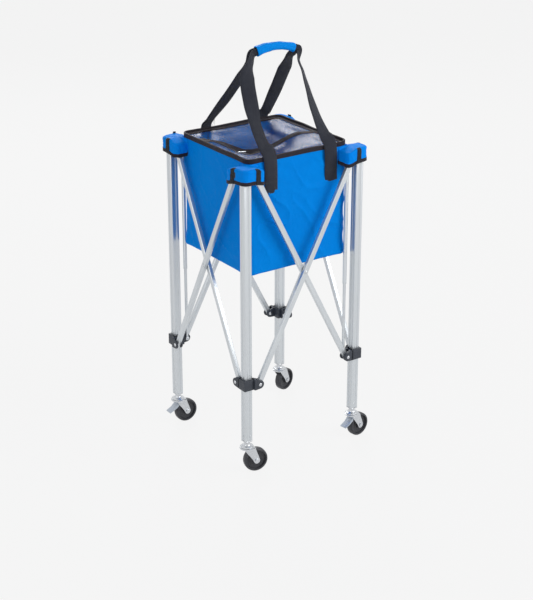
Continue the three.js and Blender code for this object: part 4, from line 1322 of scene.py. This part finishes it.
# Corner pockets: caps of the same nylon that drop over the leg tops and carry the bag.
# Each has a black tape round its mouth and two webbing tabs bar-tacked to its sides.
POCKET_LOW = 806
POCKET_HIGH = 853
POCKET_TALL = POCKET_HIGH - POCKET_LOW
POCKET_SPLIT = 45
# Painted light: the bag's nylon in a lighter colour, for the light that the pockets catch
pocket_nylon_painted_lighter = woven("blue pocket nylon", (0.0, 0.262, 0.9), (0.0, 0.2, 0.76), 0.5,
                     0.55 * MM, creases=0.5 * MM, faded=(0.0, 0.3, 0.95), gloss=0.04)
# Outline about the leg in millimetres, from the bag along one arm, round the corner and
# back, with each corner's rounding
pocket_corners = [
    (57, 21.7, 2), (57, -11, 3), (46, -24, 9), (-20.5, -28.5, 26), (-29.5, 44, 9),
    (-27.5, 54, 3), (-18.5, 57, 3), (21.7, 57, 2)]
pocket_middle = Vector((14, 14))
POCKET_CLOTH = 1.5 * MM


def rounded_path(corners, per_corner=6):
    """Rounds each corner of an open path by its own radius, in millimetres."""
    path = [Vector(corners[0][:2])]
    for before, (x, y, radius), after in zip(corners, corners[1:], corners[2:]):
        spot = Vector((x, y))
        first = (Vector(before[:2]) - spot)
        second = (Vector(after[:2]) - spot)
        reach = min(radius, first.length * 0.45, second.length * 0.45)
        start = spot + first.normalized() * reach
        end = spot + second.normalized() * reach
        for i in range(per_corner + 1):
            t = i / per_corner
            path.append(start * (1 - t) ** 2 + spot * 2 * t * (1 - t) + end * t ** 2)
    path.append(Vector(corners[-1][:2]))
    return path


def even_steps(path, spacing):
    """The path again with points at a steady spacing."""
    runs = [0.0]
    for a, b in zip(path, path[1:]):
        runs.append(runs[-1] + (b - a).length)
    count = max(2, round(runs[-1] / spacing))
    result = []
    for i in range(count + 1):
        goal = runs[-1] * i / count
        k = max(j for j in range(len(runs) - 1) if runs[j] <= goal + 1e-9)
        share = (goal - runs[k]) / max(1e-9, runs[k + 1] - runs[k])
        result.append(path[k].lerp(path[k + 1], min(1, share)))
    return result


outer_path = even_steps(rounded_path(pocket_corners), 2.6)
# The bag's own corner closes the outline behind
bag_side = [Vector(p) for p in arc(44, 44, 22.3, 180, 270, 8)]
pocket_loop = outer_path + [Vector((21.7, 55))] + bag_side + [Vector((55, 21.7))]


def eased(value):
    value = min(1, max(0, value))
    return value * value * (3 - 2 * value)


def pocket_point(spot, share, index, out=0.0):
    """A place on a pocket's cloth, share of the way from its mouth to its crown."""
    arm = max(spot.x, spot.y)
    behind = spot.x > 20 and spot.y > 20
    low = POCKET_LOW + 3 - 8 * eased((arm - 12) / 42) * (0 if behind else 1)
    high = POCKET_HIGH - 9 * eased((arm - 22) / 36) * (0 if behind else 1)
    inset = 7 * max(0.0, (share - 0.86) / 0.14) ** 2.5
    wrinkle = 0.0
    if not behind:
        level = low + (high - low) * share
        seed = Vector((spot.x * 0.05, spot.y * 0.05, level * 0.034 + index * 5.0))
        fold = 1 - min(1, abs(noise.noise(seed * 1.7 + Vector((spot.x, -level, 0)) * 0.02)) * 4)
        wrinkle = (noise.noise(seed) * 2.0 + fold * fold * 1.6 + noise.noise(seed * 3.3) * 0.5
                   - 0.9) * math.sin(math.pi * (0.12 + 0.76 * share)) ** 0.7
    way = (spot - pocket_middle).normalized()
    place = spot + way * (out + wrinkle - inset)
    return Vector((place.x, place.y, low + (high - low) * share))


def pocket_skin(index):
    """The open cap, about the leg with the leg's foot at z = 0, in metres."""
    shape = bmesh.new()
    rings = []
    for share in (0, 0.06, 0.14, 0.23, 0.32, 0.41, 0.5, 0.59, 0.68, 0.76, 0.84, 0.9, 0.94,
                  0.97, 0.99, 1):
        rings.append([shape.verts.new(pocket_point(spot, share, index) * MM)
                      for spot in pocket_loop])
    for first, second in zip(rings, rings[1:]):
        for i in range(len(first)):
            j = (i + 1) % len(first)
            shape.faces.new((first[i], first[j], second[j], second[i]))
    inner = rings[-1]
    for share in (0.86, 0.72, 0.58, 0.44, 0.3, 0.15):
        ring = []
        for vert in rings[-1]:
            spot = Vector((vert.co.x, vert.co.y)) / MM
            place = pocket_middle + (spot - pocket_middle) * share
            crumple = noise.noise(Vector((place.x, place.y, index * 9.0)) * 0.07) * 1.3
            level = POCKET_HIGH - 0.3 + (vert.co.z / MM - POCKET_HIGH) * share ** 2
            ring.append(shape.verts.new((place.x * MM, place.y * MM,
                                         (level - abs(crumple)) * MM)))
        for i in range(len(inner)):
            j = (i + 1) % len(inner)
            shape.faces.new((inner[i], inner[j], ring[j], ring[i]))
        inner = ring
    tip = shape.verts.new((pocket_middle.x * MM, pocket_middle.y * MM,
                           (POCKET_HIGH - 0.5) * MM))
    for i in range(len(inner)):
        shape.faces.new((inner[i], inner[(i + 1) % len(inner)], tip))
    bmesh.ops.recalc_face_normals(shape, faces=shape.faces)
    if sum((f.normal.z * f.calc_area() for f in shape.faces)) < 0:
        bmesh.ops.reverse_faces(shape, faces=shape.faces)
    layer = shape.loops.layers.uv.new("cloth")
    for face in shape.faces:
        for loop in face.loops:
            spot = loop.vert.co
            if abs(face.normal.z) > 0.6:
                loop[layer].uv = (spot.x, spot.y)
            else:
                loop[layer].uv = (spot.x - spot.y, spot.z)
    return shape


def cut_skin(skin, keep):
    """A copy of the skin with only the faces that keep says."""
    part = skin.copy()
    gone = [f for f in part.faces if not keep(f.calc_center_median() / MM)]
    bmesh.ops.delete(part, geom=gone, context="FACES")
    return part


def thickened(name, part, thickness, at, material, body, stands_for):
    """Gives a skin its thickness behind it, at a corner's place."""
    mesh = bpy.data.meshes.new(name)
    part.to_mesh(mesh)
    holder = bpy.data.objects.new(f"{name}_holder", mesh)
    bpy.context.collection.objects.link(holder)
    wall = holder.modifiers.new("wall", "SOLIDIFY")
    wall.thickness = thickness
    wall.offset = -1
    graph = bpy.context.evaluated_depsgraph_get()
    result = bpy.data.meshes.new_from_object(holder.evaluated_get(graph))
    bpy.data.objects.remove(holder)
    result.transform(at)
    smooth(result, 60)
    return add_piece(name, result, material, body, stands_for)


def fold_wing(piece, cut):
    """Gives a pocket's arm, but not its crown, a mesh of its own."""
    if cut != "crown":
        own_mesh(piece)


pocket_cuts = {
    "crown": lambda c: c.x <= POCKET_SPLIT and c.y <= POCKET_SPLIT,
    "wing_a": lambda c: c.x > POCKET_SPLIT and c.y <= POCKET_SPLIT,
    "wing_b": lambda c: c.y > POCKET_SPLIT}
for index, corner in enumerate(CORNERS):
    at = corner_frame(corner, 0)
    pocket = pocket_skin(index)
    for cut, keep in pocket_cuts.items():
        part = cut_skin(pocket, keep)
        stands_for = f"corner_pocket_{corner}" if cut == "crown" else None
        piece = thickened(f"pocket_{cut}_{corner}", part, POCKET_CLOTH, at, pocket_nylon_painted_lighter,
                          f"frame_{corner}", stands_for)
        part.free()
        fold_wing(piece, cut)
    pocket.free()

# Mouth tape: folded over the pocket's lower edge
for index, corner in enumerate(CORNERS):
    at = corner_frame(corner, 0)
    parts = {
        "wing_a": [p for p in outer_path if p.x > POCKET_SPLIT],
        "crown": [p for p in outer_path if p.x <= POCKET_SPLIT and p.y <= POCKET_SPLIT],
        "wing_b": [p for p in outer_path if p.y > POCKET_SPLIT]}
    parts["wing_a"].append(parts["crown"][0])
    parts["wing_b"].insert(0, parts["crown"][-1])
    for cut, run in parts.items():
        rings = []
        for spot in run:
            way = (spot - pocket_middle).normalized()
            foot = pocket_point(spot, 0, index)
            ring = []
            for out, level in ((1.1, 0.2), (1.1, 9.4), (0.5, 10), (-1.9, 10), (-1.9, -0.4),
                               (0.4, -0.6)):
                face = pocket_point(spot, max(0, level) / POCKET_TALL, index)
                ring.append(at @ (Vector((face.x + way.x * out, face.y + way.y * out,
                                          foot.z + level)) * MM))
            rings.append(ring)
        tape = loft(f"pocket_tape_{cut}_{corner}", rings, black_tape, f"frame_{corner}")
        fold_wing(tape, cut)

# Tabs: strips of narrow webbing down the two outer faces, at these places on each arm
TAB_HALF = 7.5
tab_places = {"front_left": (27, 26), "front_right": (27, 15), "rear_right": (27, 22),
              "rear_left": (20, 24)}
TABS_STANDING = (("rear_right", 1), ("rear_left", 1))
tab_webbing = woven("tab webbing", (0.020, 0.021, 0.027), (0.008, 0.008, 0.011), 0.7,
                    1.2 * MM, 0.9, 0.4 * MM, sheen=0.15, gloss=0.15)
bend = min(range(len(outer_path)), key=lambda i: outer_path[i].x + outer_path[i].y)
for index, corner in enumerate(CORNERS):
    at = corner_frame(corner, 0)
    for arm, goal in enumerate(tab_places[corner]):
        side_path = outer_path[:bend] if arm == 0 else outer_path[bend:]
        spots = [p for p in side_path if abs((p.x, p.y)[arm] - goal) <= TAB_HALF + 1]
        rings = []
        stands = (1.1, 1.08, 1.04) if (corner, arm) in TABS_STANDING else ()
        for share in stands + (1.0, 0.985, 0.96, 0.92, 0.86, 0.78, 0.68, 0.56, 0.44, 0.32, 0.2,
                               0.1, 0.03, -0.01):
            outer_side, inner_side = [], []
            for spot in spots:
                lift = 2.6 if share < 0.24 else 1.5
                above = Vector((0, 0, max(0, share - 1) * POCKET_TALL))
                for row, out in ((outer_side, lift), (inner_side, lift - 1.4)):
                    face = pocket_point(spot, min(1, share), index, out) + above
                    row.append(at @ (face * MM))
            rings.append(outer_side + inner_side[::-1])
        loft(f"pocket_tab_{corner}_{arm + 1}", rings, tab_webbing, f"frame_{corner}")


# Handles: two lengths of 44 mm ribbed webbing, each sewn to the bag at both feet and led
# through the grip, where they are gathered narrower.
WEBBING_WIDE = 44 * MM
WEBBING_THICK = 2.4 * MM
RIM_STRAP_Z = 872.3 * MM
GRIP_END_Z = 1120.3 * MM
GRIP_RISE = 9 * MM
GRIP_TILT = 2.5 * MM
GRIP_CENTRE = 40 * MM
GRIP_HALF = 67 * MM
STRAP_Y = 180 * MM
STRAP_RIM_Y = 181 * MM
STRAP_FOOT_Z = 755 * MM
# Where each foot stands along the bag, from the middle
STRAP_FOOT_X = {("front", -1): -97 * MM, ("front", 1): 115.5 * MM,
                ("rear", -1): -86 * MM, ("rear", 1): 118 * MM}
STRAP_TILT = {"front": 8 * MM, "rear": 0}
STRAP_RIM_TWIST = {("front", -1): 0, ("front", 1): 0, ("rear", -1): 14, ("rear", 1): 0}
IN_GRIP_Y = 3.7 * MM
STITCH_ASIDE = 18 * MM
ROW_SIGN = dict(ROWS)
strap_webbing = woven("ribbed webbing", (0.034, 0.037, 0.051), (0.013, 0.014, 0.018), 0.7,
                      1.5 * MM, 0.9, 0.45 * MM, sheen=0.1, faded=(0.046, 0.05, 0.064),
                      gloss=0.15)
# Share of the rise, share of the way in, sideways bow as a share of the rise, and twist
strap_runs = {
    ("front", -1): [(0.1, 0.06, -0.078, 16), (0.3, 0.22, -0.168, 12),
                    (0.55, 0.44, -0.219, -19), (0.78, 0.68, -0.22, -24),
                    (0.92, 0.86, -0.126, 13)],
    ("front", 1): [(0.1, 0.08, -0.037, -15), (0.35, 0.33, -0.052, -26),
                   (0.6, 0.58, -0.031, -36), (0.76, 0.77, -0.003, -41),
                   (0.87, 0.92, 0.015, -40)],
    ("rear", -1): [(0.08, 0.08, 0.002, 24), (0.4, 0.38, 0.05, 11),
                   (0.7, 0.69, 0.041, 7), (0.88, 0.88, -0.01, 20)],
    ("rear", 1): [(0.08, 0.08, 0.026, 0), (0.4, 0.38, 0.041, 13),
                  (0.7, 0.69, 0.022, 16), (0.88, 0.88, 0.012, -2)]}


def grip_point(share, y):
    return Vector((GRIP_CENTRE + share * GRIP_HALF, y,
                   GRIP_END_Z + GRIP_RISE * (1 - share * share) - GRIP_TILT * share))


def strap_half(side, hand):
    """(place, twist in degrees, half width) from foot to grip."""
    sign = ROW_SIGN[side]
    foot_x = STRAP_FOOT_X[side, hand]
    rim_x = foot_x - STRAP_TILT[side]
    rise = GRIP_END_Z - RIM_STRAP_Z
    in_y = sign * IN_GRIP_Y
    target = grip_point(hand, in_y * 1.4)
    wide = WEBBING_WIDE / 2
    run = [(Vector((foot_x, sign * STRAP_Y, STRAP_FOOT_Z)), 0, wide),
           (Vector((rim_x, sign * STRAP_RIM_Y, RIM_STRAP_Z)), STRAP_RIM_TWIST[side, hand],
            wide)]
    for up, inward, bow, twist in strap_runs[side, hand]:
        run.append((Vector((rim_x + (target.x - rim_x) * up + bow * rise,
                            sign * STRAP_RIM_Y + (target.y - sign * STRAP_RIM_Y) * inward,
                            RIM_STRAP_Z + (target.z - RIM_STRAP_Z) * up)), twist, wide))
    run[-1] = (run[-1][0], run[-1][1], wide * 0.72)
    run += [(grip_point(hand * 1.2, in_y * 1.2 * 1.4), 0, 11 * MM), (target, 0, 10.5 * MM),
            (grip_point(hand * 0.6, in_y), 0, 9 * MM)]
    return run


def centripetal(points, t):
    """A point on a centripetal Catmull-Rom curve, t from 0 to 1 in equal shares a span."""
    last = len(points) - 1
    place = t * last
    k = min(int(place), last - 1)
    w = place - k
    p1, p2 = points[k], points[k + 1]
    p0 = points[k - 1] if k else p1 * 2 - p2
    p3 = points[k + 2] if k + 2 <= last else p2 * 2 - p1
    d0, d1, d2 = ((b - a).length ** 0.5 for a, b in ((p0, p1), (p1, p2), (p2, p3)))
    d1 = d1 or 1.0
    d0, d2 = d0 or d1, d2 or d1
    m1 = ((p1 - p0) / d0 - (p2 - p0) / (d0 + d1) + (p2 - p1) / d1) * d1
    m2 = ((p2 - p1) / d1 - (p3 - p1) / (d1 + d2) + (p3 - p2) / d2) * d1
    return (p1 + m1 * w + (p1 * -3 + p2 * 3 - m1 * 2 - m2) * w ** 2
            + (p1 * 2 - p2 * 2 + m1 + m2) * w ** 3)


def strap_section(half):
    """(across, outward) pairs round the webbing, its faces a little raised at the edges."""
    thick = WEBBING_THICK / 2
    edge = 0.7 * MM
    return ((half, -thick + edge), (half, thick - edge), (half - edge, thick),
            (half * 0.33, thick * 0.94), (-half * 0.33, thick * 0.94), (edge - half, thick),
            (-half, thick - edge), (-half, edge - thick), (edge - half, -thick),
            (-half * 0.33, -thick * 0.94), (half * 0.33, -thick * 0.94),
            (half - edge, -thick))


def strap_sections(side, stations=220):
    """(place, across, normal, half width) along a whole strap."""
    sign = ROW_SIGN[side]
    run = strap_half(side, -1)
    middle = (grip_point(0, run[-1][0].y), 0, 7 * MM)
    run = run + [middle] + strap_half(side, 1)[::-1]
    points = [p for p, _, _ in run]
    last = len(run) - 1
    sections = []
    for i in range(stations + 1):
        t = i / stations
        delta = 1e-4
        tangent = (centripetal(points, min(1, t + delta))
                   - centripetal(points, max(0, t - delta))).normalized()
        k = min(int(t * last), last - 1)
        mix = t * last - k
        soft = mix * mix * (3 - 2 * mix)
        half = run[k][2] + (run[k + 1][2] - run[k][2]) * soft
        twist = math.radians(run[k][1] + (run[k + 1][1] - run[k][1]) * soft)
        across = Vector((0, sign, 0)).cross(tangent).normalized()
        across = Matrix.Rotation(twist, 3, tangent) @ across
        normal = tangent.cross(across).normalized()
        sections.append((centripetal(points, t) + origin, across, normal, half))
    return sections


for side, _ in ROWS:
    rings = [[spot + across * a + normal * n for a, n in strap_section(half)]
             for spot, across, normal, half in strap_sections(side)]
    fold_with(loft(f"handle_webbing_{side}", rings, strap_webbing, f"handle_{side}",
                   f"handle_strap_{side}", 50))

# Box stitches that hold each foot to the bag
for side, sign in ROWS:
    sections = strap_sections(side)
    paths = []
    for run in (sections, sections[::-1]):
        near, far = run[3], run[24]
        face = Vector((0, sign, 0)) * (WEBBING_THICK / 2 + 0.1 * MM)
        side_way = Vector((1, 0, 0)) * STITCH_ASIDE
        a, b = near[0] + side_way + face, near[0] - side_way + face
        c, d = far[0] - side_way + face, far[0] + side_way + face
        paths += [[a, b, c, d, a], [a, c], [b, d]]
    fold_with(grown(f"handle_stitches_{side}", paths_curve(paths), row_tree, thread,
                    f"handle_{side}", "webbing", spacing=3.4 * MM, bar_length=2.6 * MM,
                    bar_radius=0.35 * MM, crossways=0))


# Grip: a padded blue sleeve wrapped round both straps, soft enough to sink in the middle
# and open at its ends.
grip_cloth = woven("grip cover", (0.0, 0.275, 0.88), (0.0, 0.22, 0.76), 0.55, 0.8 * MM,
                   depth=0.2 * MM, creases=0.4 * MM, faded=(0.0, 0.31, 0.93), gloss=0.06)
# Share along the grip, then how far it reaches above and below its middle line
grip_sizes = [(-1, 15.5, 15.5), (-0.6, 15, 12.5), (0, 13.5, 9), (0.6, 13, 10), (1, 13.5, 13.5)]
GRIP_THICK = 11.5 * MM
GRIP_WALL = 2.4 * MM
GRIP_LIP = 1.2 * MM
GRIP_PUFF = 0.8 * MM
GRIP_CRINKLE = 0.35 * MM


def grip_reach(share):
    for low, high in zip(grip_sizes, grip_sizes[1:]):
        if share <= high[0]:
            mix = eased((share - low[0]) / (high[0] - low[0]))
            return [(a + (b - a) * mix) * MM for a, b in zip(low[1:], high[1:])]
    return [size * MM for size in grip_sizes[-1][1:]]


def grip_ring(share, wall):
    """A section of the grip, a wall's thickness inside its cover."""
    middle = grip_point(share, 0) + origin
    slope = (-2 * GRIP_RISE * share - GRIP_TILT) / GRIP_HALF
    up = Vector((-slope, 0, 1)).normalized()
    above, below = grip_reach(share)
    ring = []
    for i in range(32):
        angle = 2 * math.pi * i / 32
        a, b = math.cos(angle), math.sin(angle)
        y = math.copysign(abs(a) ** 0.7, a) * (GRIP_THICK - wall)
        z = math.copysign(abs(b) ** 0.7, b) * ((above if b > 0 else below) - wall)
        puff = noise.noise(Vector((share * 4, a * 1.6, b * 1.6))) * GRIP_PUFF
        puff += noise.noise(Vector((share * 11, a * 2.5, b * 2.5))) * GRIP_CRINKLE
        ring.append(middle + Vector((0, 1, 0)) * (y + puff * a) + up * (z + puff * b))
    return ring


grip_shares = steps(-0.985, 0.985, 60)
grip_rings = []
for share in grip_shares:
    end = min(1, (1 - abs(share)) / 0.06)
    full = math.sqrt(max(0.05, 1 - (1 - end) ** 2))
    grip_rings.append(grip_ring(share, GRIP_LIP * (1 - full)))
# Outside and inside skins joined at the mouths
bore_rings = [grip_ring(share, GRIP_WALL) for share in grip_shares]
grip_verts = [p for ring in grip_rings + bore_rings for p in ring]
ring_size = len(grip_rings[0])
ring_count = len(grip_rings)
shift = ring_count * ring_size
grip_faces = []
for r in range(ring_count):
    for i in range(ring_size):
        a, b = r * ring_size + i, r * ring_size + (i + 1) % ring_size
        if r < ring_count - 1:
            grip_faces.append((a, b, b + ring_size, a + ring_size))
            grip_faces.append((a + shift, a + shift + ring_size, b + shift + ring_size,
                               b + shift))
        if r in (0, ring_count - 1):
            mouth = (a, a + shift, b + shift, b)
            grip_faces.append(mouth if r == 0 else mouth[::-1])
grip_mesh = bpy.data.meshes.new("grip")
grip_mesh.from_pydata([tuple(p) for p in grip_verts], [], grip_faces)
grip_shape = bmesh.new()
grip_shape.from_mesh(grip_mesh)
bmesh.ops.recalc_face_normals(grip_shape, faces=grip_shape.faces)
grip_uv = grip_shape.loops.layers.uv.new("cloth")
for face in grip_shape.faces:
    for loop in face.loops:
        loop[grip_uv].uv = (loop.vert.co.x, loop.vert.co.z + loop.vert.co.y)
grip = add_piece("handle_grip_pad", as_mesh("grip", grip_shape, 60), grip_cloth,
                 "handle_front", "handle_grip")
fold_with(grip)
